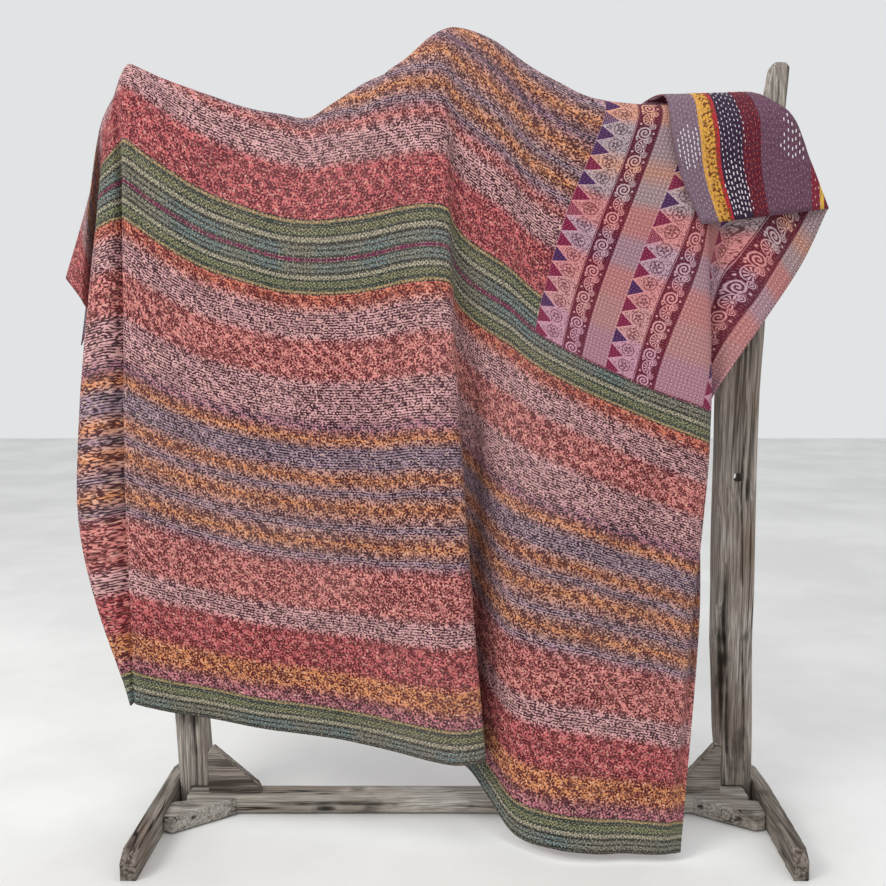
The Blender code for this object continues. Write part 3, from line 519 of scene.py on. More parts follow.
class Steps:
    """Adds nodes to a tree one step at a time; each step hands back the socket it makes."""

    def __init__(self, tree):
        self.tree = tree

    def node(self, kind, **settings):
        made = self.tree.nodes.new("ShaderNode" + kind)
        for name, value in settings.items():
            setattr(made, name, value)
        return made

    def feed(self, socket, value):
        if isinstance(value, bpy.types.NodeSocket):
            self.tree.links.new(value, socket)
        elif socket.type == "RGBA" and len(value) == 3:
            socket.default_value = (*value, 1.0)
        else:
            socket.default_value = value

    def maths(self, operation, *values, clamp=False):
        made = self.node("Math", operation=operation, use_clamp=clamp)
        for socket, value in zip(made.inputs, values):
            self.feed(socket, value)
        return made.outputs[0]

    def add(self, first, second):
        return self.maths("ADD", first, second)

    def less(self, first, second):
        return self.maths("SUBTRACT", first, second)

    def times(self, first, second):
        return self.maths("MULTIPLY", first, second)

    def highest(self, *values):
        top = values[0]
        for value in values[1:]:
            top = self.maths("MAXIMUM", top, value)
        return top

    def rise(self, value, low, high, start=0.0, end=1.0):
        """Soft step: start below low, end above high."""
        made = self.node("MapRange", interpolation_type="SMOOTHSTEP")
        for label, given in (("Value", value), ("From Min", low), ("From Max", high),
                             ("To Min", start), ("To Max", end)):
            self.feed(made.inputs[label], given)
        return made.outputs[0]

    def under(self, value, limit, soft):
        """1 where value is under limit, with an edge soft wide."""
        return self.rise(value, self.less(limit, soft / 2), self.add(limit, soft / 2), 1.0, 0.0)

    def band(self, value, low, high, soft):
        """1 between low and high, with edges soft wide."""
        middle = (low + high) / 2
        return self.under(self.maths("ABSOLUTE", self.less(value, middle)), (high - low) / 2, soft)

    def wrap(self, value, length, offset=0.0):
        """Value counted round from 0 to 1 over every length."""
        return self.maths("FRACT", self.add(self.maths("DIVIDE", value, length), offset))

    def count(self, value, length, offset=0.0):
        return self.maths("FLOOR", self.add(self.maths("DIVIDE", value, length), offset))

    def centred(self, value, length, offset=0.0):
        """Distance from the middle of every length, in the value's own measure."""
        return self.times(self.less(self.wrap(value, length, offset), 0.5), length)

    def place(self, x=0.0, y=0.0, z=0.0):
        made = self.node("CombineXYZ")
        for socket, value in zip(made.inputs, (x, y, z)):
            self.feed(socket, value)
        return made.outputs[0]

    def parts(self, vector):
        made = self.node("SeparateXYZ")
        self.feed(made.inputs[0], vector)
        return made.outputs[:3]

    def noise(self, vector, scale, detail=2.0, roughness=0.5, distortion=0.0):
        made = self.node("TexNoise")
        for label, value in (("Vector", vector), ("Scale", scale), ("Detail", detail),
                             ("Roughness", roughness), ("Distortion", distortion)):
            self.feed(made.inputs[label], value)
        return made.outputs[0]

    def cells(self, vector, scale, randomness=1.0, output="Distance", feature="F1"):
        made = self.node("TexVoronoi", feature=feature)
        for label, value in (("Vector", vector), ("Scale", scale), ("Randomness", randomness)):
            self.feed(made.inputs[label], value)
        return made.outputs[output]

    def chance(self, value):
        """A random number from 0 to 1 for each whole number."""
        made = self.node("TexWhiteNoise", noise_dimensions="1D")
        self.feed(made.inputs["W"], value)
        return made.outputs["Value"]

    def mix(self, share, first, second, kind="MIX"):
        made = self.node("Mix", data_type="RGBA", blend_type=kind)
        self.feed(made.inputs[0], share)
        self.feed(made.inputs[6], first)
        self.feed(made.inputs[7], second)
        return made.outputs[2]

    def ramp(self, value, stops, smooth="LINEAR"):
        """Colours along a value: stops are (at, colour)."""
        made = self.node("ValToRGB")
        made.color_ramp.interpolation = smooth
        marks = made.color_ramp.elements
        for number, (at, colour) in enumerate(stops):
            mark = marks[number] if number < 2 else marks.new(at)
            mark.position = at
            mark.color = (*colour, 1.0)
        self.feed(made.inputs[0], value)
        return made.outputs[0]

    def use(self, group, **values):
        """Puts a node group in place; its outputs are read by name."""
        made = self.node("Group", node_tree=group)
        for label, value in values.items():
            self.feed(made.inputs[label.replace("_", " ")], value)
        return made.outputs

    def bump(self, height, strength, reach):
        made = self.node("Bump")
        self.feed(made.inputs["Height"], height)
        made.inputs["Strength"].default_value = strength
        made.inputs["Distance"].default_value = reach
        return made.outputs[0]


def new_group(name, inputs, outputs):
    """An empty node group: its steps, its inputs by name and its ends to feed."""
    tree = bpy.data.node_groups.new(name, "ShaderNodeTree")
    for label, value in inputs:
        kind = "NodeSocketVector" if value is None else "NodeSocketFloat"
        kind = "NodeSocketColor" if isinstance(value, tuple) else kind
        socket = tree.interface.new_socket(name=label, in_out="INPUT", socket_type=kind)
        if value is not None:
            socket.default_value = (*value, 1.0) if isinstance(value, tuple) else value
    for label in outputs:
        kind = "NodeSocketColor" if label == "Colour" else "NodeSocketFloat"
        tree.interface.new_socket(name=label, in_out="OUTPUT", socket_type=kind)
    steps = Steps(tree)
    entry = tree.nodes.new("NodeGroupInput").outputs
    ends = tree.nodes.new("NodeGroupOutput").inputs
    return tree, steps, entry, ends


# ---------------------------------------------------------------- prints of the two saris
# Ground and mark colours of the body print, band by band across the cloth (t is each band's upper
# limit): soft-edged, as the dyer left them.  In the dusty bands the marks run in rows.
Band = namedtuple("Band", "t ground mark")
PINK = (222, 138, 132)
RED_PINK = (208, 104, 106)
DUSTY = (222, 168, 170)
MAUVE = (168, 140, 156)
OCHRE = (226, 150, 96)
PLUM_MARK = (50, 6, 26)
RED_MARK = (82, 2, 18)
DARK_MARK = (30, 12, 32)
RUST_MARK = (76, 14, 20)
LOWER_BANDS = (
    Band(0.115, (196, 118, 128), PLUM_MARK),
    Band(0.166, OCHRE, RED_MARK),
    Band(0.260, RED_PINK, RED_MARK),
    Band(0.316, DUSTY, PLUM_MARK),
    Band(0.428, PINK, RED_MARK),
    Band(0.465, MAUVE, DARK_MARK),
    Band(0.497, OCHRE, RUST_MARK),
    Band(0.546, MAUVE, DARK_MARK),
    Band(0.595, OCHRE, RUST_MARK),
    Band(0.614, MAUVE, DARK_MARK),
    Band(0.658, OCHRE, RUST_MARK),
    Band(0.715, MAUVE, DARK_MARK),
    Band(0.746, OCHRE, RUST_MARK),
    Band(0.775, (180, 120, 140), DARK_MARK),
    Band(0.871, DUSTY, PLUM_MARK),
    Band(0.968, PINK, RED_MARK),
    Band(1.040, DUSTY, PLUM_MARK),
    Band(1.077, (216, 122, 98), RED_MARK),
)
UPPER_BANDS = (
    Band(1.370, RED_PINK, (84, 8, 28)),
    Band(1.446, DUSTY, PLUM_MARK),
    Band(1.475, PINK, RED_MARK),
    Band(1.515, MAUVE, DARK_MARK),
    Band(1.545, OCHRE, RUST_MARK),
    Band(1.590, MAUVE, DARK_MARK),
    Band(1.640, OCHRE, RUST_MARK),
    Band(1.680, (156, 120, 144), DARK_MARK),
    Band(1.725, OCHRE, RUST_MARK),
    Band(1.770, MAUVE, DARK_MARK),
    Band(1.850, DUSTY, PLUM_MARK),
    Band(2.020, RED_PINK, RED_MARK),
)
PALLU_GROUNDS = (
    Band(1.250, (204, 152, 172), (80, 6, 42)),
    Band(1.330, (214, 156, 156), (92, 10, 34)),
    Band(1.400, (220, 146, 146), (92, 8, 40)),
    Band(1.470, (196, 158, 174), (58, 10, 44)),
    Band(1.540, (216, 142, 142), (96, 8, 28)),
    Band(1.590, (192, 168, 172), (52, 12, 40)),
    Band(1.640, (222, 162, 138), (80, 10, 30)),
    Band(1.720, (184, 164, 170), (46, 12, 40)),
    Band(1.800, (218, 158, 136), (76, 14, 36)),
    Band(2.020, (204, 164, 178), (66, 16, 46)),
)
BAND_SOFT = 0.010           # how softly one band runs into the next
HEM_HIGH = 0.078            # printed border along the hem
BORDER_LOW = 1.077          # the two borders that meet at the seam between the saris
BORDER_HIGH = 1.253
EDGE_STRIP = 0.050          # plainer finely dotted strip along the left side edge
PALLU_ROWS = (1.350, 1.526, 1.750)      # where each row of the upper sari's decorated end starts
TOOTH_PITCH = 0.0395        # triangle to triangle along the pallu
TOOTH_LONG = 0.033
LACE_END = 0.066            # along each repeat: lace, line, vine, line, plain strip
VINE_START = 0.072
VINE_END = 0.112
PLAIN_START = 0.117
VINE_REPEAT = 0.066
KEY_PITCH = 0.0088
TRELLIS_PITCH = 0.031       # slanting rows in which the florals stand
KANTHA_ROW = 0.0062         # row to row of the running stitches
KANTHA_STEP = 0.0078        # stitch to stitch along a row


def band_stops(bands, start, low, high, colour):
    """Colour stops from low to high, holding each wide band's colour and softening its ends."""
    stops = []
    for row in bands:
        first = start + BAND_SOFT
        last = row.t - BAND_SOFT
        if last - first < 3 * BAND_SOFT:
            first = last = (start + row.t) / 2
        for at in sorted({first, last}):
            stops.append(((at - low) / (high - low), tint(*getattr(row, colour))))
        start = row.t
    return stops


def band_colour(steps, t, bands, start, colour):
    high = bands[-1].t
    share = steps.maths("DIVIDE", steps.less(t, start), high - start)
    return steps.ramp(share, band_stops(bands, start, start, high, colour))


def florals_group():
    """Small scattered stars, twigs and specks, dense over the whole cloth; 1 on a mark."""
    tree, steps, entry, ends = new_group(
        "scattered florals", (("S", 0.0), ("T", 0.0), ("Rows", 0.0)), ("Marks",))
    s, t, rows = entry["S"], entry["T"], entry["Rows"]
    pitch = 0.050
    along = steps.times(steps.add(s, t), 0.7071)
    across = steps.times(steps.less(s, t), 0.7071)

    def cell(offset):
        x = steps.centred(along, pitch, offset)
        y = steps.centred(across, pitch, offset)
        reach = steps.maths("SQRT", steps.add(steps.times(x, x), steps.times(y, y)))
        return x, y, reach, steps.maths("ARCTAN2", y, x)

    x, y, reach, angle = cell(0.0)
    petals = steps.maths("COSINE", steps.times(angle, 6.0))
    star = steps.under(reach, steps.add(0.0068, steps.times(petals, 0.0036)), 0.0010)
    core = steps.under(reach, 0.0022, 0.0010)
    star = steps.less(star, core)
    x, y, reach, angle = cell(0.5)
    leaves = steps.maths("ABSOLUTE", steps.maths("COSINE", steps.times(angle, 2.0)))
    twig = steps.under(reach, steps.times(leaves, 0.0118), 0.0012)
    vein = steps.under(steps.maths("ABSOLUTE", y), 0.0006, 0.0006)
    twig = steps.less(twig, steps.times(vein, 0.7))

    fine = steps.noise(steps.place(s, t), 215.0, 1.0, 0.4, 0.5)
    dashes = steps.noise(steps.place(steps.times(s, 0.70), t), 270.0, 0.5, 0.4)
    line = steps.maths("COSINE", steps.times(t, 2 * math.pi / KANTHA_ROW))
    dashes = steps.add(dashes, steps.times(line, 0.10))
    even = steps.add(fine, steps.times(steps.less(dashes, fine), rows))
    clump = steps.noise(steps.place(steps.times(along, 1.6), across), 40.0, 1.5)
    patch = steps.noise(steps.place(steps.times(along, 0.8), across), 11.0, 2.0)
    level = steps.add(0.488, steps.times(steps.less(clump, 0.5), 0.24))
    level = steps.add(level, steps.times(steps.less(patch, 0.5), 0.12))
    trellis = steps.add(steps.times(s, 0.74), steps.times(t, 0.67))
    trellis = steps.maths("COSINE", steps.times(trellis, 2 * math.pi / TRELLIS_PITCH))
    cross = steps.add(steps.times(s, 0.50), steps.times(t, -0.87))
    cross = steps.maths("COSINE", steps.times(cross, 2 * math.pi / (TRELLIS_PITCH * 0.9)))
    level = steps.add(level, steps.times(trellis, 0.034))
    level = steps.add(level, steps.times(cross, 0.018))
    specks = steps.rise(even, steps.less(level, 0.016), steps.add(level, 0.016))
    halo = steps.band(reach, 0.0125, 0.0155, 0.002)
    specks = steps.times(specks, steps.less(1.0, steps.times(halo, 0.35)))
    calm = steps.less(1.0, steps.times(rows, 0.6))
    shapes = steps.highest(steps.times(star, 0.85), steps.times(twig, 0.80))
    marks = steps.highest(specks, steps.times(shapes, calm))
    steps.feed(ends["Marks"], marks)
    return tree


def border_group():
    """A sari border's narrow rows, by share of its width from the toothed edge to the selvedge."""
    tree, steps, entry, ends = new_group(
        "sari border", (("S", 0.0), ("Share", 0.0), ("Selvedge", (0.2, 0.0, 0.1))), ("Colour",))
    s, share = entry["S"], entry["Share"]
    drift = steps.noise(steps.place(s, steps.times(share, 0.02)), 5.0, 2.0)
    green = steps.mix(steps.rise(drift, 0.42, 0.58), tint(54, 74, 58), tint(84, 94, 74))
    grey = steps.mix(steps.rise(drift, 0.40, 0.60), tint(66, 74, 70), tint(94, 88, 76))
    pale = steps.mix(steps.rise(drift, 0.42, 0.58), tint(122, 148, 150), tint(150, 146, 128))
    dark = tint(20, 34, 32)
    cream = tint(196, 188, 160)

    colour = steps.mix(steps.rise(share, 0.40, 0.46), green, grey)
    tooth = steps.maths("ABSOLUTE", steps.centred(s, 0.0100))
    teeth = steps.under(share, steps.add(0.012, steps.times(tooth, 9.0)), 0.02)
    colour = steps.mix(steps.band(share, 0.03, 0.10, 0.02), colour, tint(186, 154, 104))
    colour = steps.mix(teeth, colour, tint(58, 46, 34))

    # two rows of chevrons
    wave = steps.maths("PINGPONG", steps.add(s, 0.2), 0.0052)
    chevron = steps.wrap(steps.add(share, steps.times(wave, 15.0)), 0.085)
    chevron = steps.band(chevron, 0.20, 0.62, 0.16)
    within = steps.band(share, 0.215, 0.375, 0.02)
    colour = steps.mix(steps.times(within, chevron), colour, tint(166, 164, 112))
    back = steps.times(within, steps.less(1.0, chevron))
    colour = steps.mix(steps.times(back, 0.75), colour, tint(46, 56, 46))

    # rows of small rings and of dots
    for middle, pitch, across, ring in ((0.50, 0.0088, 0.060, cream), (0.69, 0.0050, 0.040, pale),
                                        (0.83, 0.0088, 0.058, pale)):
        x = steps.maths("DIVIDE", steps.centred(s, pitch), pitch * 0.5)
        y = steps.maths("DIVIDE", steps.less(share, middle), across)
        reach = steps.maths("SQRT", steps.add(steps.times(x, x), steps.times(y, y)))
        backing = steps.band(share, middle - across * 1.25, middle + across * 1.25, 0.015)
        colour = steps.mix(steps.times(backing, 0.55), colour, dark)
        hoop = steps.band(reach, 0.42, 1.0, 0.28)
        colour = steps.mix(steps.times(hoop, 0.95), colour, ring)
        eye = steps.under(reach, 0.22, 0.15)
        colour = steps.mix(steps.times(eye, 0.8), colour, ring)

    for low, high in ((0.130, 0.152), (0.178, 0.196), (0.400, 0.418), (0.590, 0.625),
                      (0.752, 0.772), (0.905, 0.922)):
        colour = steps.mix(steps.band(share, low, high, 0.010), colour, dark)
    colour = steps.mix(steps.rise(share, 0.942, 0.958), colour, entry["Selvedge"])
    specks = steps.noise(steps.place(s, steps.times(share, 0.085)), 260.0, 1.0)
    colour = steps.mix(steps.rise(specks, 0.46, 0.54, 0.0, 0.75), colour, dark)
    specks = steps.noise(steps.place(steps.add(s, 5.0), steps.times(share, 0.085)), 240.0, 1.0)
    colour = steps.mix(steps.rise(specks, 0.57, 0.64, 0.0, 0.45), colour, cream)
    steps.feed(ends["Colour"], colour)
    return tree


def pallu_group():
    """The decorated end: dark teeth, lace, a scroll vine with fans, and a finely keyed strip."""
    tree, steps, entry, ends = new_group(
        "decorated end", (("S", 0.0), ("T", 0.0), ("Ground", (0.7, 0.4, 0.4)),
                          ("Dark", (0.2, 0.01, 0.05)), ("Print", (0.4, 0.2, 0.2))), ("Colour",))
    s, t, ground, dark = entry["S"], entry["T"], entry["Ground"], entry["Dark"]
    run = steps.less(s, PALLU_ROWS[0])
    for last, start in zip(PALLU_ROWS, PALLU_ROWS[1:]):
        run = steps.less(run, steps.times(steps.rise(s, start, start + 0.0001), start - last))

    # lace: pale ground with doodled flowers, and solid teeth standing on the first line
    lace = steps.noise(steps.place(run, t), 190.0, 0.5, 0.4, 0.8)
    lace = steps.rise(steps.maths("ABSOLUTE", steps.less(lace, 0.5)), 0.035, 0.060, 1.0, 0.0)
    bud_x = steps.less(run, 0.040)
    bud_y = steps.centred(t, TOOTH_PITCH, 0.5)
    bud = steps.maths("SQRT", steps.add(steps.times(bud_x, bud_x), steps.times(bud_y, bud_y)))
    turn = steps.maths("ARCTAN2", bud_y, bud_x)
    flower = steps.add(0.0070, steps.times(steps.maths("COSINE", steps.times(turn, 5.0)), 0.0030))
    flower = steps.less(steps.under(bud, flower, 0.0012), steps.under(bud, 0.0026, 0.0010))
    ring = steps.band(bud, 0.0125, 0.0145, 0.0008)
    colour = steps.mix(steps.times(steps.highest(lace, flower, ring), 0.85), ground, dark)
    off = steps.maths("ABSOLUTE", steps.centred(t, TOOTH_PITCH))
    narrow = steps.times(steps.less(1.0, steps.maths("DIVIDE", run, TOOTH_LONG)),
                         TOOTH_PITCH * 0.49)
    outline = steps.under(off, steps.add(narrow, 0.0022), 0.0008)
    colour = steps.mix(outline, colour, ground)
    tooth = steps.times(steps.under(off, narrow, 0.0008), steps.rise(run, 0.0, 0.001))
    number = steps.count(t, TOOTH_PITCH)
    dotted = steps.rise(steps.chance(number), 0.66, 0.68)
    dot = steps.cells(steps.place(run, t), 280.0, 0.0)
    dot = steps.times(steps.rise(dot, 0.20, 0.32, 1.0, 0.0), dotted)
    purple = steps.rise(steps.chance(steps.add(number, 31.0)), 0.55, 0.60)
    tooth_colour = steps.mix(purple, tint(122, 18, 62), tint(66, 26, 82))
    tooth_colour = steps.mix(steps.times(dot, 0.9), tooth_colour, ground)
    colour = steps.mix(tooth, colour, tooth_colour)

    # scroll vine: in every repeat one fan and two spirals, light on dark
    vine = tint(112, 20, 46)
    vine_ground = steps.mix(0.45, dark, vine)
    u = steps.less(run, (VINE_START + VINE_END) / 2)
    v = steps.times(steps.wrap(t, VINE_REPEAT), VINE_REPEAT)

    def polar(at_u, at_v):
        x = steps.less(u, at_u)
        y = steps.less(v, at_v)
        reach = steps.maths("SQRT", steps.add(steps.times(x, x), steps.times(y, y)))
        return x, y, reach, steps.maths("ARCTAN2", y, x)

    x, y, reach, turn = polar(0.004, 0.016)
    rays = steps.rise(steps.maths("COSINE", steps.times(turn, 11.0)), -0.25, 0.15)
    upper = steps.rise(steps.less(0.006, x), 0.0, 0.001)
    fan = steps.times(steps.times(rays, steps.band(reach, 0.0045, 0.0135, 0.0010)), upper)
    rim = steps.times(steps.band(reach, 0.0150, 0.0172, 0.0008), upper)
    light = steps.highest(fan, rim, steps.under(reach, 0.0032, 0.0008))
    for at_u, at_v, size, sense in ((-0.002, 0.047, 0.0155, 1.0), (0.010, 0.031, 0.0085, -1.0),
                                    (0.011, 0.063, 0.0075, -1.0), (0.011, -0.003, 0.0075, -1.0)):
        x, y, reach, turn = polar(at_u, at_v)
        coil = steps.less(steps.maths("DIVIDE", reach, size * 0.46),
                          steps.times(turn, sense / (2 * math.pi)))
        coil = steps.band(steps.maths("FRACT", steps.add(coil, 4.0)), 0.18, 0.68, 0.16)
        light = steps.highest(light, steps.times(coil, steps.under(reach, size, 0.0012)))
    for at_u, at_v in ((-0.014, 0.031), (-0.015, 0.002), (0.016, 0.047), (-0.016, 0.0365)):
        x, y, reach, turn = polar(at_u, at_v)
        light = steps.highest(light, steps.under(reach, 0.0024, 0.0010))
    vine_colour = steps.mix(light, vine_ground, ground)
    colour = steps.mix(steps.rise(run, LACE_END, LACE_END + 0.0006), colour, vine_ground)
    seam_line = steps.band(run, LACE_END + 0.0018, LACE_END + 0.0030, 0.0005)
    colour = steps.mix(steps.times(seam_line, 0.7), colour, ground)
    inside = steps.band(run, VINE_START, VINE_END, 0.0006)
    colour = steps.mix(inside, colour, vine_colour)

    # plain strip with a very fine key pattern
    key_x = steps.centred(run, KEY_PITCH)
    key_y = steps.centred(t, KEY_PITCH)
    box = steps.maths("MAXIMUM", steps.maths("ABSOLUTE", key_x), steps.maths("ABSOLUTE", key_y))
    hook = steps.highest(steps.band(box, 0.0029, 0.0040, 0.0003),
                         steps.under(box, 0.0014, 0.0004))
    gap = steps.times(steps.rise(key_x, 0.0, 0.0003), steps.rise(key_y, 0.0, 0.0003))
    key = steps.times(hook, steps.less(1.0, gap))
    plain = steps.mix(0.30, ground, tint(150, 112, 104))
    plain = steps.mix(steps.times(key, 0.80), plain, dark)
    colour = steps.mix(steps.rise(run, PLAIN_START, PLAIN_START + 0.0006), colour, plain)
    steps.feed(ends["Colour"], colour)
    return tree


def kantha_group():
    """Rows of running stitch: where the thread shows, and how the cloth dips along each row."""
    tree, steps, entry, ends = new_group(
        "kantha stitching", (("Along", 0.0), ("Across", 0.0), ("Row", KANTHA_ROW),
                             ("Step", KANTHA_STEP), ("Long", 0.55), ("Wide", 0.16)),
        ("Thread", "Height"))
    along, across = entry["Along"], entry["Across"]
    wander = steps.noise(steps.place(along, across), 9.0, 1.0)
    across = steps.add(across, steps.times(steps.less(wander, 0.5), 0.006))
    row = steps.count(across, entry["Row"])
    off = steps.maths("ABSOLUTE", steps.less(steps.wrap(across, entry["Row"]), 0.5))
    step = steps.wrap(along, entry["Step"], steps.times(steps.chance(row), 3.0))
    half = steps.times(entry["Long"], 0.5)
    held = steps.under(steps.maths("ABSOLUTE", steps.less(step, 0.5)), half, 0.10)
    line = steps.under(off, entry["Wide"], 0.08)
    thread = steps.times(held, line)
    puff = steps.rise(off, 0.0, 0.5)
    pinch = steps.rise(steps.maths("ABSOLUTE", steps.less(step, 0.5)), 0.30, 0.5)
    pinch = steps.times(pinch, steps.rise(off, 0.05, 0.45, 1.0, 0.0))
    height = steps.less(steps.add(steps.times(puff, 0.55), steps.times(thread, 0.30)),
                        steps.times(pinch, 0.35))
    steps.feed(ends["Thread"], thread)
    steps.feed(ends["Height"], height)
    return tree


def weave_group():
    """Plain cotton weave and its slubs, as a height."""
    tree, steps, entry, ends = new_group("cotton weave", (("S", 0.0), ("T", 0.0)), ("Height",))
    pitch = 0.0011
    warp = steps.maths("SINE", steps.times(entry["S"], 2 * math.pi / pitch))
    weft = steps.maths("SINE", steps.times(entry["T"], 2 * math.pi / pitch))
    slub = steps.noise(steps.place(steps.times(entry["S"], 0.12), entry["T"]), 700.0, 2.0)
    height = steps.add(steps.times(steps.times(warp, weft), 0.25), steps.times(slub, 0.6))
    steps.feed(ends["Height"], height)
    return tree


def strip_values(steps, lean, value):
    """One value from each strip of the reverse, by place across the leaning strips."""
    stops = []
    low = 0.0
    for row in REVERSE_STRIPS:
        stops.append((low / REVERSE_TOP, value(row)))
        low = row.t
    return steps.ramp(steps.maths("DIVIDE", lean, REVERSE_TOP), stops, "CONSTANT")


def reverse_colour(steps, s, t):
    """The reverse: strips of old saris side by side, slanting a little across the cloth."""
    lean = steps.less(t, steps.times(steps.less(s, CLOTH_LONG), REVERSE_LEAN))
    return strip_values(steps, lean, lambda row: tint(*row.colour)), lean


def wood_group():
    """Old outdoor timber with its grain along Z: silvered streaks, checks and dirt."""
    tree, steps, entry, ends = new_group(
        "weathered wood", (("Vector", None), ("Tone", (0.2, 0.2, 0.2)), ("Dark", (0.05, 0.04, 0.03)),
                           ("Pale", (0.5, 0.5, 0.45)), ("Bleach", 0.3), ("Cleft", 0.0)),
        ("Colour", "Roughness", "Height"))
    x, y, z = steps.parts(entry["Vector"])
    bend = steps.times(steps.less(steps.noise(entry["Vector"], 3.0, 1.0), 0.5), 0.016)
    x = steps.add(x, bend)
    y = steps.add(y, bend)
    fibre = steps.noise(steps.place(x, y, steps.times(z, 0.030)), 330.0, 3.0, 0.6)
    grain = steps.noise(steps.place(x, y, steps.times(z, 0.022)), 120.0, 3.0, 0.62, 0.4)
    blotch = steps.noise(steps.place(x, y, steps.times(z, 0.30)), 9.0, 3.0)
    check = steps.noise(steps.place(x, y, steps.times(z, 0.045)), 34.0, 2.0, 0.5, 0.3)
    check = steps.maths("ABSOLUTE", steps.less(check, 0.5))
    rare = steps.rise(steps.noise(steps.place(x, y, steps.times(z, 0.25)), 14.0, 1.0), 0.50, 0.62)
    check = steps.times(steps.rise(check, 0.004, 0.020, 1.0, 0.0), rare)

    colour = steps.mix(steps.rise(grain, 0.36, 0.56), entry["Dark"], entry["Tone"])
    bleached = steps.rise(blotch, 0.60, 0.42)
    bleached = steps.times(bleached, entry["Bleach"])
    bleached = steps.times(bleached, steps.rise(fibre, 0.38, 0.60, 0.35, 1.0))
    colour = steps.mix(bleached, colour, entry["Pale"])
    colour = steps.mix(steps.rise(fibre, 0.62, 0.42, 0.0, 0.45), colour, entry["Dark"])
    brown = steps.rise(steps.noise(entry["Vector"], 5.0, 2.0), 0.50, 0.70, 0.0, 0.35)
    colour = steps.mix(brown, colour, tint(112, 88, 66))
    stain = steps.noise(steps.place(x, y, steps.times(z, 0.5)), 16.0, 4.0, 0.6)
    colour = steps.mix(steps.rise(stain, 0.58, 0.70, 0.0, 0.55), colour, tint(44, 36, 32))
    # painted shade: the checks, and the clefts cut into the mesh, are coloured near black as the
    # shade inside the cracks
    check = steps.highest(check, steps.rise(entry["Cleft"], 0.0, 0.8))
    colour = steps.mix(steps.times(check, 0.92), colour, tint(22, 17, 14))
    steps.feed(ends["Colour"], colour)
    steps.feed(ends["Roughness"], steps.rise(fibre, 0.3, 0.7, 0.78, 0.95))
    height = steps.add(steps.times(fibre, 0.35), steps.times(grain, 0.65))
    steps.feed(ends["Height"], steps.less(height, steps.times(check, 1.6)))
    return tree


# Strips of the reverse by their upper limit in t (before the lean), with the thread's colour and
# how much of it shows.
Strip = namedtuple("Strip", "t colour thread shows")
REVERSE_LEAN = 0.06
REVERSE_TOP = 2.40
REVERSE_STRIPS = (
    Strip(0.120, (126, 44, 62), (226, 190, 190), 0.4),
    Strip(0.420, (140, 112, 128), (214, 190, 198), 0.4),
    Strip(0.480, (206, 150, 60), (120, 70, 30), 0.3),
    Strip(0.760, (70, 44, 78), (222, 210, 216), 0.7),
    Strip(1.020, (134, 40, 58), (216, 120, 96), 0.5),
    Strip(1.330, (138, 116, 130), (210, 186, 194), 0.4),
    Strip(1.380, (196, 142, 58), (130, 80, 36), 0.3),
    Strip(1.700, (74, 40, 66), (224, 214, 220), 0.6),
    Strip(1.722, (118, 24, 44), (224, 170, 178), 0.8),
    Strip(1.728, (216, 172, 66), (216, 172, 66), 0.0),
    Strip(1.750, (122, 28, 46), (228, 176, 182), 0.8),
    Strip(1.856, (98, 64, 82), (168, 132, 150), 0.5),
    Strip(1.889, (88, 14, 34), (204, 84, 66), 0.6),
    Strip(1.939, (38, 18, 48), (232, 226, 232), 0.95),
    Strip(1.944, (172, 34, 40), (172, 34, 40), 0.0),
    Strip(1.970, (212, 156, 62), (120, 66, 28), 0.2),
    Strip(2.400, (118, 96, 110), (196, 170, 182), 0.5),
)


def finish_material(name):
    made = bpy.data.materials.new(name)
    made.use_nodes = True
    return made, Steps(made.node_tree), made.node_tree.nodes["Principled BSDF"]


def flat_places(steps):
    """The cloth's own (s, t) from its UV map, with the slight wander of a handmade print."""
    chart = steps.node("UVMap", uv_map="flat")
    s, t, _ = steps.parts(chart.outputs[0])
    drift = steps.noise(chart.outputs[0], 4.0, 2.0)
    wander = steps.times(steps.less(drift, 0.5), 0.010)
    return s, steps.add(t, wander), t


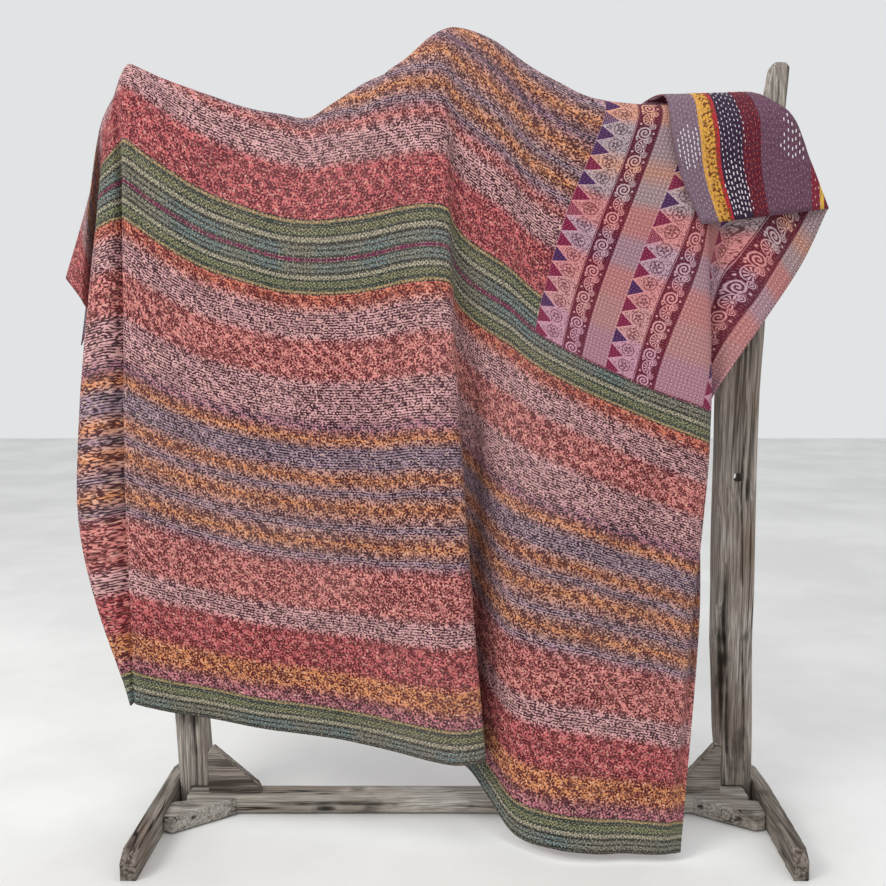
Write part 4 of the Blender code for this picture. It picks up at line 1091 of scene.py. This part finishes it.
def printed_face(groups):
    made, steps, shader = finish_material("printed cotton face")
    s, t, edge_t = flat_places(steps)
    upper = steps.rise(t, SARI_WIDTH - 0.001, SARI_WIDTH + 0.001)

    # dense florals over banded grounds
    grounds = []
    for colour in ("ground", "mark"):
        low = band_colour(steps, t, LOWER_BANDS, HEM_HIGH, colour)
        high = band_colour(steps, t, UPPER_BANDS, BORDER_HIGH, colour)
        grounds.append(steps.mix(upper, low, high))
    rows = steps.parts(grounds[0])[2]
    rows = steps.rise(steps.less(rows, steps.times(steps.parts(grounds[0])[0], 0.45)), 0.03, 0.08)
    marks = steps.use(groups["florals"], S=s, T=t, Rows=rows)["Marks"]
    shade = steps.noise(steps.place(steps.times(s, 0.35), t), 26.0, 3.0, 0.6)
    ground = steps.mix(steps.rise(shade, 0.38, 0.72, 0.0, 0.30), grounds[0], grounds[1])
    # painted highlight: pale warm flecks mixed into the ground where the cloth would catch the light
    gleam = steps.noise(steps.place(s, t), 120.0, 1.0)
    ground = steps.mix(steps.rise(gleam, 0.54, 0.64, 0.0, 0.40), ground, tint(238, 200, 176))
    colour = steps.mix(steps.times(marks, 0.97), ground, grounds[1])

    # the upper sari's decorated end
    pallu_ground = band_colour(steps, t, PALLU_GROUNDS, SARI_WIDTH, "ground")
    pallu_dark = band_colour(steps, t, PALLU_GROUNDS, SARI_WIDTH, "mark")
    pallu = steps.use(groups["pallu"], S=s, T=t, Ground=pallu_ground, Dark=pallu_dark)["Colour"]
    in_pallu = steps.times(upper, steps.rise(s, PALLU_ROWS[0] - 0.0006, PALLU_ROWS[0] + 0.0006))
    colour = steps.mix(in_pallu, colour, pallu)

    # finely dotted strip along the left side edge of the lower sari
    side = steps.times(steps.under(s, EDGE_STRIP, 0.001), steps.less(1.0, upper))
    cross_x = steps.maths("ABSOLUTE", steps.centred(s, 0.0070))
    cross_y = steps.maths("ABSOLUTE", steps.centred(t, 0.0070))
    cross = steps.under(steps.maths("MINIMUM", cross_x, cross_y), 0.0009, 0.0006)
    cross = steps.times(cross, steps.under(steps.highest(cross_x, cross_y), 0.0027, 0.0006))
    strip = steps.mix(0.5, grounds[0], grounds[1])
    strip = steps.mix(steps.times(cross, 0.85), strip, tint(232, 206, 206))
    colour = steps.mix(side, colour, strip)

    # borders: along the hem, and two that meet at the seam
    hem_share = steps.maths("DIVIDE", steps.less(HEM_HIGH, edge_t), HEM_HIGH)
    low_share = steps.maths("DIVIDE", steps.less(t, BORDER_LOW), SARI_WIDTH - BORDER_LOW)
    high_share = steps.maths("DIVIDE", steps.less(BORDER_HIGH, t), BORDER_HIGH - SARI_WIDTH)
    seam = steps.mix(upper, low_share, high_share)
    hem = steps.under(edge_t, HEM_HIGH, 0.0006)
    share = steps.mix(hem, seam, hem_share)
    selvedge = steps.mix(hem, tint(122, 18, 78), tint(70, 74, 66))
    border = steps.use(groups["border"], S=s, Share=share, Selvedge=selvedge)["Colour"]
    at_seam = steps.times(steps.rise(t, BORDER_LOW, BORDER_LOW + 0.0006),
                          steps.under(t, BORDER_HIGH, 0.0006))
    at_seam = steps.times(at_seam, steps.less(1.0, in_pallu))
    colour = steps.mix(steps.highest(hem, at_seam), colour, border)

    # stitches pull the cloth into fine rows; their thread shows a little
    stitches = steps.use(groups["kantha"], Along=s, Across=edge_t)
    thread = steps.mix(0.55, colour, tint(226, 196, 190))
    colour = steps.mix(steps.times(stitches["Thread"], 0.22), colour, thread)
    # painted shade: the face is coloured darker in the low dips between the puffed rows of
    # stitching, where shade would fall
    painted_row_shade = steps.rise(stitches["Height"], 0.15, -0.20, 0.0, 0.30)
    colour = steps.mix(painted_row_shade, colour, grounds[1])
    wear = steps.noise(steps.place(s, edge_t), 1.7, 3.0)
    colour = steps.mix(steps.rise(wear, 0.35, 0.75, 0.0, 0.06), colour, tint(222, 190, 184))
    finish_cloth(steps, shader, groups, colour, stitches["Height"], s, edge_t)
    return made


def reverse_face(groups):
    made, steps, shader = finish_material("pieced cotton reverse")
    s, t, edge_t = flat_places(steps)
    colour, lean = reverse_colour(steps, s, t)
    # painted shade of rucks: the reverse is coloured darker in the wrinkles of a noise pattern, up
    # to about half way to a dark plum
    painted_ruck_shade = steps.noise(steps.place(s, steps.times(t, 2.2)), 120.0, 2.0, 0.6)
    colour = steps.mix(steps.rise(painted_ruck_shade, 0.30, 0.52, 0.55, 0.0), colour, tint(60, 30, 50))
    pale = steps.noise(steps.place(s, steps.times(t, 1.6)), 300.0, 1.0)
    colour = steps.mix(steps.rise(pale, 0.54, 0.70, 0.0, 0.16), colour, tint(206, 182, 190))

    # brown specks printed on the ochre strip
    ochre = steps.band(lean, 1.944, 1.970, 0.001)
    spot = steps.noise(steps.place(s, steps.times(t, 0.7)), 170.0, 2.0)
    colour = steps.mix(steps.times(ochre, steps.rise(spot, 0.50, 0.56)), colour, tint(110, 62, 26))

    # the left end's reverse is dotted indigo
    indigo = steps.under(s, 0.30, 0.004)
    dots_x = steps.centred(s, 0.0090, steps.times(steps.chance(steps.count(t, 0.0075)), 0.6))
    dots = steps.maths("SQRT", steps.add(steps.maths("POWER", dots_x, 2.0),
                                         steps.maths("POWER", steps.centred(t, 0.0075), 2.0)))
    dotted = steps.mix(steps.under(dots, 0.0015, 0.0008), tint(54, 32, 62), tint(224, 212, 222))
    colour = steps.mix(indigo, colour, dotted)

    thread_colour = strip_values(steps, lean, lambda row: tint(*row.thread))
    shows = strip_values(steps, lean, lambda row: (row.shows,) * 3)
    stitches = steps.use(groups["kantha"], Along=s, Across=edge_t, Row=0.0085, Step=0.0105,
                         Long=0.60, Wide=0.17)
    # on the turned corner the thread itself is made, so it isn't painted there too
    corner = steps.add(t, steps.times(steps.less(s, CORNER_S), CORNER_SLOPE))
    painted = steps.under(corner, CLOTH_ACROSS, 0.004)
    shows = steps.times(shows, painted)
    colour = steps.mix(steps.times(stitches["Thread"], shows), colour, thread_colour)
    finish_cloth(steps, shader, groups, colour, stitches["Height"], s, edge_t)
    return made


def finish_cloth(steps, shader, groups, colour, quilting, s, t):
    """Matt cotton: quilting and weave relief, and a little fuzz."""
    weave = steps.use(groups["weave"], S=s, T=t)["Height"]
    steps.feed(shader.inputs["Base Color"], colour)
    shader.inputs["Roughness"].default_value = 0.92
    shader.inputs["Specular IOR Level"].default_value = 0.22
    shader.inputs["Sheen Weight"].default_value = 0.05
    shader.inputs["Sheen Roughness"].default_value = 0.55
    height = steps.add(quilting, steps.times(weave, 0.10))
    steps.feed(shader.inputs["Normal"], steps.bump(height, 0.9, 0.0016))


def edge_binding(groups):
    """The quilt's turned edge: darker folded cotton, oversewn."""
    made, steps, shader = finish_material("turned cotton edge")
    s, t, _ = flat_places(steps)
    pulls = steps.maths("SINE", steps.times(steps.add(s, t), 2 * math.pi / 0.006))
    colour = steps.mix(steps.rise(pulls, -0.4, 0.6), tint(96, 34, 60), tint(150, 104, 112))
    finish_cloth(steps, shader, groups, colour, steps.times(pulls, 0.4), s, t)
    return made


# Timber finishes: grain axis, tone, dark streaks, silvered patches and how much silver shows.
Timber = namedtuple("Timber", "name axis tone dark pale bleach")
TIMBERS = (
    Timber("old timber upright", "Z", (160, 150, 140), (72, 64, 58), (206, 198, 188), 0.60),
    Timber("old timber lengthwise", "X", (144, 134, 124), (66, 58, 52), (190, 182, 172), 0.50),
    Timber("old timber foot", "Y", (140, 130, 120), (64, 56, 50), (190, 182, 172), 0.55),
    Timber("bleached timber lengthwise", "X", (168, 162, 152), (104, 96, 88), (206, 202, 194), 0.75),
    Timber("bleached timber strut", "X", (166, 160, 150), (100, 92, 84), (204, 200, 192), 0.70),
)


def timber_material(row, groups):
    made, steps, shader = finish_material(row.name)
    x, y, z = steps.parts(steps.node("TexCoord").outputs["Object"])
    turned = {"Z": (x, y, z), "X": (z, y, x), "Y": (x, z, y)}[row.axis]
    wood = steps.use(groups["wood"], Vector=steps.place(*turned), Tone=tint(*row.tone),
                     Dark=tint(*row.dark), Pale=tint(*row.pale), Bleach=row.bleach,
                     Cleft=steps.node("Attribute", attribute_name="cleft").outputs["Fac"])
    steps.feed(shader.inputs["Base Color"], wood["Colour"])
    steps.feed(shader.inputs["Roughness"], wood["Roughness"])
    shader.inputs["Specular IOR Level"].default_value = 0.25
    steps.feed(shader.inputs["Normal"], steps.bump(wood["Height"], 0.85, 0.0022))
    return made


# ---------------------------------------------------------------- made stitches
CORNER_S = 1.27                 # the turned corner lies past a line from (CORNER_S, top edge)
CORNER_SLOPE = 0.492            # to the right side edge, this steep
STITCH_ROW = 0.0078
STITCH_STEP = 0.0114
STITCH_LONG = 0.0062
THREAD_RADIUS = 0.0011
# Where fresh white mending thread shows: middle along and across the cloth, and half its size.
Mend = namedtuple("Mend", "s t half_s half_t")
MENDS = (
    Mend(1.740, 1.992, 0.050, 0.026), Mend(1.780, 1.778, 0.050, 0.030),
    Mend(1.850, 1.914, 0.060, 0.026),
)
MEND_THREAD = (238, 232, 236)


def cloth_finder(places, flats, faces):
    """Looks up places on the hung cloth by their place on the flat cloth."""
    corners = [(s, t, 0.0) for s, t in flats]
    pieces = []
    for a, b, c, d in faces:
        pieces.append((a, b, c))
        pieces.append((a, c, d))
    tree = BVHTree.FromPolygons(corners, pieces)

    def find(s, t):
        spot, _, index, _ = tree.find_nearest((s, t, 0.0))
        flat_corners = [Vector(corners[n]) for n in pieces[index]]
        hung_corners = [Vector(places[n]) for n in pieces[index]]
        return barycentric_transform(spot, *flat_corners, *hung_corners)

    def frame_at(s, t):
        reach = 0.002
        middle = find(s, t)
        along = (find(s + reach, t) - find(s - reach, t)).normalized()
        across = (find(s, t + reach) - find(s, t - reach)).normalized()
        return middle, along, along.cross(across).normalized()

    return frame_at


def stitch_spots(frame_at):
    """Every made stitch: place, direction, outward, colour and size."""
    spots = []
    random = Random(41)
    t = CLOTH_ACROSS - 0.31
    while t < CLOTH_ACROSS - 0.004:
        start = CORNER_S + (CLOTH_ACROSS - t) / CORNER_SLOPE + 0.012
        s = start + random.uniform(0.0, STITCH_STEP)
        while s < CLOTH_LONG - 0.006:
            lean = t - REVERSE_LEAN * (s - CLOTH_LONG)
            strip = next(row for row in REVERSE_STRIPS if lean < row.t)
            if strip.shows > 0.1:
                wander = random.uniform(-0.0010, 0.0010)
                middle, along, away = frame_at(s, t + wander)
                out = middle - away * (CLOTH_THICK / 2 + THREAD_RADIUS * 0.2)
                turned = along + along.cross(away) * random.uniform(-0.10, 0.10)
                mended = any(((s - mend.s) / mend.half_s) ** 2 + ((t - mend.t) / mend.half_t) ** 2
                             < random.uniform(0.6, 1.2) for mend in MENDS)
                thread = MEND_THREAD if mended else strip.thread
                size = 1.15 if mended else 0.45 + 0.40 * strip.shows
                spots.append((out, turned.normalized(), -away, tint(*thread), size))
            s += STITCH_STEP + random.uniform(-0.0012, 0.0012)
        t += STITCH_ROW + random.uniform(-0.0006, 0.0006)
    return spots


def stitch_tree(thread):
    """Geometry Nodes: a rounded bar of thread on every point, turned by the point's own values."""
    tree = bpy.data.node_groups.new("running stitches", "GeometryNodeTree")
    tree.interface.new_socket(name="Points", in_out="INPUT", socket_type="NodeSocketGeometry")
    for label, value in (("Length", STITCH_LONG), ("Radius", THREAD_RADIUS)):
        socket = tree.interface.new_socket(name=label, in_out="INPUT",
                                           socket_type="NodeSocketFloat")
        socket.default_value = value
    tree.interface.new_socket(name="Stitches", in_out="OUTPUT", socket_type="NodeSocketGeometry")
    made = {}

    def node(kind, label, **settings):
        made[label] = tree.nodes.new(kind)
        for name, value in settings.items():
            setattr(made[label], name, value)
        return made[label]

    entry = tree.nodes.new("NodeGroupInput")
    end = tree.nodes.new("NodeGroupOutput")
    bar = node("GeometryNodeMeshCylinder", "bar", fill_type="TRIANGLE_FAN")
    bar.inputs["Vertices"].default_value = 6
    bar.inputs["Side Segments"].default_value = 1
    for label, kind in (("along", "FLOAT_VECTOR"), ("away", "FLOAT_VECTOR"), ("size", "FLOAT")):
        node("GeometryNodeInputNamedAttribute", label, data_type=kind)
        made[label].inputs["Name"].default_value = label
    first = node("FunctionNodeAlignRotationToVector", "first", axis="Z")
    second = node("FunctionNodeAlignRotationToVector", "second", axis="X", pivot_axis="Z")
    put = node("GeometryNodeInstanceOnPoints", "put")
    real = node("GeometryNodeRealizeInstances", "real")
    finish = node("GeometryNodeSetMaterial", "finish")
    finish.inputs["Material"].default_value = thread
    link = tree.links.new
    link(entry.outputs["Length"], bar.inputs["Depth"])
    link(entry.outputs["Radius"], bar.inputs["Radius"])
    link(made["along"].outputs["Attribute"], first.inputs["Vector"])
    link(first.outputs["Rotation"], second.inputs["Rotation"])
    link(made["away"].outputs["Attribute"], second.inputs["Vector"])
    link(entry.outputs["Points"], put.inputs["Points"])
    link(bar.outputs["Mesh"], put.inputs["Instance"])
    link(second.outputs["Rotation"], put.inputs["Rotation"])
    link(made["size"].outputs["Attribute"], put.inputs["Scale"])
    link(put.outputs["Instances"], real.inputs["Geometry"])
    link(real.outputs["Geometry"], finish.inputs["Geometry"])
    link(finish.outputs["Geometry"], end.inputs["Stitches"])
    return tree


def build_stitches(frame_at):
    spots = stitch_spots(frame_at)
    piece = mesh_piece("kantha_stitches", [spot[0] for spot in spots], [])
    for label, column, kind, field in (("along", 1, "FLOAT_VECTOR", "vector"),
                                       ("away", 2, "FLOAT_VECTOR", "vector"),
                                       ("tone", 3, "FLOAT_VECTOR", "vector"),
                                       ("size", 4, "FLOAT", "value")):
        layer = piece.data.attributes.new(label, kind, "POINT")
        values = np.array([spot[column] for spot in spots], np.float32)
        layer.data.foreach_set(field, values.ravel())
    made, steps, shader = finish_material("stitching thread")
    tone = steps.node("Attribute", attribute_name="tone")
    twist = steps.noise(steps.node("TexCoord").outputs["Object"], 900.0, 1.0)
    shade = steps.mix(steps.rise(twist, 0.35, 0.65, 0.0, 0.35), tone.outputs["Vector"],
                      tint(70, 50, 56))
    steps.feed(shader.inputs["Base Color"], shade)
    shader.inputs["Roughness"].default_value = 0.85
    maker = piece.modifiers.new("stitches", "NODES")
    maker.node_group = stitch_tree(made)
    plain_mesh(piece)
    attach(piece, "root")


# ---------------------------------------------------------------- worn timbers
# Checks (drying cracks) in the old timber: on the face a piece shows to the front, how far off its
# middle line, from where to where along it, how wide and how deep.
Check = namedtuple("Check", "node aside start end wide deep")
CHECKS = (
    Check("post_right", -0.034, 0.15, 0.50, 0.0085, 0.0120),
    Check("post_right", -0.024, 0.30, 0.60, 0.0050, 0.0080),
    Check("post_right", -0.020, 0.06, 0.36, 0.0040, 0.0060),
    Check("post_right", 0.012, 0.62, 1.02, 0.0020, 0.0030),
    Check("post_right", 0.024, 0.74, 0.80, 0.0040, 0.0040),
    Check("post_right", -0.018, 1.02, 1.40, 0.0022, 0.0030),
    Check("post_right", 0.004, 1.50, 1.72, 0.0024, 0.0030),
    Check("post_right", 0.020, 0.10, 0.50, 0.0022, 0.0030),
    Check("post_left", 0.006, 0.05, 0.30, 0.0030, 0.0040),
    Check("post_left", -0.014, 0.12, 0.60, 0.0024, 0.0030),
    Check("stretcher", 0.002, -0.40, -0.06, 0.0036, 0.0050),
    Check("stretcher", -0.010, -0.28, -0.23, 0.0080, 0.0050),
    Check("stretcher", -0.008, 0.30, 0.62, 0.0024, 0.0030),
    Check("strut_right", 0.002, 0.618, 0.632, 0.0050, 0.0060),
    Check("strut_right", -0.002, 0.693, 0.707, 0.0050, 0.0060),
    Check("strut_left", 0.002, -0.560, -0.548, 0.0040, 0.0050),
    Check("foot_left", 0.006, -0.20, 0.05, 0.0024, 0.0030),
    Check("foot_right", -0.004, -0.18, 0.02, 0.0024, 0.0030),
)
# Worn copies of the timbers: grain axis, how fine the mesh is, and how worn.
Hewn = namedtuple("Hewn", "node axis grid worn")
HEWN = (
    Hewn("post_left", 2, 0.0036, 1.0), Hewn("post_right", 2, 0.0029, 1.0),
    Hewn("stretcher", 0, 0.0034, 0.8), Hewn("foot_left", 1, 0.0034, 0.5),
    Hewn("foot_right", 1, 0.0034, 0.5), Hewn("gusset_left", 0, 0.0028, 0.5),
    Hewn("gusset_right", 0, 0.0028, 0.5), Hewn("strut_left", 0, 0.0026, 0.4),
    Hewn("strut_right", 0, 0.0026, 0.4),
)
FIBRE_RISE = 0.0008         # raised fibres
FIBRE_FINE = 150.0          # noise scales: fibres, then hollows across and along the grain
HOLLOW_ACROSS = 16.0
HOLLOW_ALONG = 3.2
LINE_PLACES = 24            # places along a timber where its middle line is found
LINE_REACH = 0.05
FACES_FRONT = -0.35         # only faces that look this far towards -Y are cracked
HOLLOW_RISE = 0.0020        # worn hollows and waney edges
SIGHT_HOLE = (0.7095, 0.80, 0.015)      # in the right post: x, z and how far round stays unworn


def hewn_copy(row, finish):
    """A timber with its worn hollows, raised grain and checks, standing for its plain node."""
    piece = bpy.data.objects.new(row.node + "_hewn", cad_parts[row.node].data.copy())
    bpy.context.scene.collection.objects.link(piece)
    shape = bmesh.new()
    shape.from_mesh(piece.data)
    bmesh.ops.remove_doubles(shape, verts=shape.verts, dist=0.00005)
    bmesh.ops.recalc_face_normals(shape, faces=shape.faces)
    shape.to_mesh(piece.data)
    shape.free()
    even = piece.modifiers.new("even mesh", "REMESH")
    even.mode = "VOXEL"
    even.voxel_size = row.grid
    plain_mesh(piece)
    mesh = piece.data
    count = len(mesh.vertices)
    spots = np.empty(count * 3, np.float32)
    normals = np.empty(count * 3, np.float32)
    mesh.vertices.foreach_get("co", spots)
    mesh.vertex_normals.foreach_get("vector", normals)
    spots = spots.reshape(-1, 3)
    normals = normals.reshape(-1, 3)
    along = spots[:, row.axis]
    side = 0 if row.axis == 2 else 2
    bins = np.linspace(along.min(), along.max(), LINE_PLACES)
    lines = [spots[np.abs(along - at) < LINE_REACH][:, side] for at in bins]
    middle = np.interp(along, bins, [(line.min() + line.max()) / 2 for line in lines])
    heights = np.zeros(count)
    clefts = np.zeros(count, np.float32)
    stretch = np.full(3, 1.0)
    stretch[row.axis] = 0.05
    hollow = np.full(3, HOLLOW_ACROSS)
    hollow[row.axis] = HOLLOW_ALONG
    for number, (spot, normal) in enumerate(zip(spots, normals)):
        fibre = noise.noise(Vector(spot * stretch * FIBRE_FINE))
        worn = noise.noise(Vector(spot * hollow))
        height = row.worn * (FIBRE_RISE * fibre + HOLLOW_RISE * (worn - 0.2))
        if math.hypot(spot[0] - SIGHT_HOLE[0], spot[2] - SIGHT_HOLE[1]) < SIGHT_HOLE[2]:
            height = 0.0
        if normal[1] < FACES_FRONT:
            for check in CHECKS:
                if check.node != row.node or not check.start < along[number] < check.end:
                    continue
                wander = 0.006 * noise.noise(Vector((along[number] * 7.0, check.aside * 90, 2.0)))
                off = abs(spot[side] - middle[number] - check.aside - wander) / check.wide
                share = (along[number] - check.start) / (check.end - check.start)
                if off < 1.6:
                    cleft = math.exp(-off * off) * math.sin(math.pi * share) ** 0.5
                    cleft *= 0.75 + 0.25 * noise.noise(Vector((along[number] * 40.0, 1.0, 5.0)))
                    height -= check.deep * cleft
                    clefts[number] = max(clefts[number], cleft)
        heights[number] = height
    spots += normals * heights[:, None]
    spots[:, 2] = np.maximum(spots[:, 2], 0.0)
    mesh.vertices.foreach_set("co", spots.ravel())
    mesh.attributes.new("cleft", "FLOAT", "POINT").data.foreach_set("value", clefts)
    mesh.update()
    mesh.shade_smooth()
    mesh.materials.clear()
    mesh.materials.append(finish)
    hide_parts(row.node)
    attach(piece, "root")


# ---------------------------------------------------------------- stage, light and camera
CAMERA_PLACE = (0.0, -2.25, 1.115)      # from midway between the posts
CAMERA_PITCH = 84.0
CAMERA_LENS = 39.0
FLOOR_HALF = 9.0


def build_stage():
    """A plain pale floor."""
    signs = ((-1, -1), (1, -1), (1, 1), (-1, 1))
    corners = [(FLOOR_HALF * x, FLOOR_HALF * y, 0.0) for x, y in signs]
    floor = mesh_piece("studio_floor", corners, [(0, 1, 2, 3)])
    made, steps, shader = finish_material("pale plaster")
    where = steps.node("TexCoord").outputs["Object"]
    cloud = steps.noise(where, 1.3, 4.0, 0.6)
    colour = steps.mix(steps.rise(cloud, 0.3, 0.7), tint(222, 222, 220), tint(236, 236, 234))
    steps.feed(shader.inputs["Base Color"], colour)
    shader.inputs["Roughness"].default_value = 0.8
    grit = steps.noise(where, 160.0, 3.0)
    steps.feed(shader.inputs["Normal"], steps.bump(grit, 0.15, 0.002))
    floor.data.materials.append(made)


Lamp = namedtuple("Lamp", "name x y z aim_z width power warmth")
LAMPS = (
    Lamp("soft key", -3.0, -2.2, 3.3, 0.95, 1.8, 84.0, (1.0, 0.985, 0.96)),
    Lamp("soft fill", 2.2, -3.0, 1.9, 0.80, 2.8, 10.0, (0.95, 0.975, 1.0)),
    Lamp("top light", 0.2, 0.3, 3.9, 0.60, 2.6, 30.0, (1.0, 1.0, 1.0)),
)


def build_lights():
    for row in LAMPS:
        light = bpy.data.lights.new(row.name, "AREA")
        light.size = row.width
        light.energy = row.power
        light.color = row.warmth
        lamp = bpy.data.objects.new(row.name, light)
        lamp.location = (row.x, row.y, row.z)
        aim = Vector((0.0, 0.0, row.aim_z)) - lamp.location
        lamp.rotation_euler = aim.to_track_quat("-Z", "Y").to_euler()
        bpy.context.scene.collection.objects.link(lamp)
    world = bpy.data.worlds.new("studio")
    world.use_nodes = True
    sky = world.node_tree.nodes["Background"]
    sky.inputs["Color"].default_value = (0.97, 0.985, 1.0, 1.0)
    sky.inputs["Strength"].default_value = 0.78
    bpy.context.scene.world = world


def build_camera():
    lens = bpy.data.cameras.new("camera")
    lens.sensor_width = 36.0
    lens.lens = CAMERA_LENS
    camera = bpy.data.objects.new("camera", lens)
    x, y, z = CAMERA_PLACE
    camera.location = (x - MIDDLE_X, y - MIDDLE_Y, z)
    camera.rotation_euler = (math.radians(CAMERA_PITCH), 0.0, 0.0)
    bpy.context.scene.collection.objects.link(camera)
    bpy.context.scene.camera = camera


NODE_TIMBER = {
    "post_left": "old timber upright", "post_right": "old timber upright",
    "top_rail": "old timber lengthwise", "peak_peg": "old timber upright",
    "stretcher": "bleached timber lengthwise",
    "foot_left": "old timber foot", "foot_right": "old timber foot",
    "gusset_left": "old timber lengthwise", "gusset_right": "old timber lengthwise",
    "strut_left": "bleached timber strut", "strut_right": "bleached timber strut",
}


def main():
    build_camera()
    groups = {"florals": florals_group(), "border": border_group(), "pallu": pallu_group(),
              "kantha": kantha_group(), "weave": weave_group(), "wood": wood_group()}
    frame_at = build_quilt((printed_face(groups), reverse_face(groups), edge_binding(groups)))
    build_stitches(frame_at)
    timbers = {row.name: timber_material(row, groups) for row in TIMBERS}
    for row in HEWN:
        hewn_copy(row, timbers[NODE_TIMBER[row.node]])
    for node, finish in NODE_TIMBER.items():
        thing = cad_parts[node]
        for slot in thing.material_slots:
            slot.material = timbers[finish]
    build_stage()
    build_lights()
    bpy.context.scene.view_settings.view_transform = "Standard"


main()
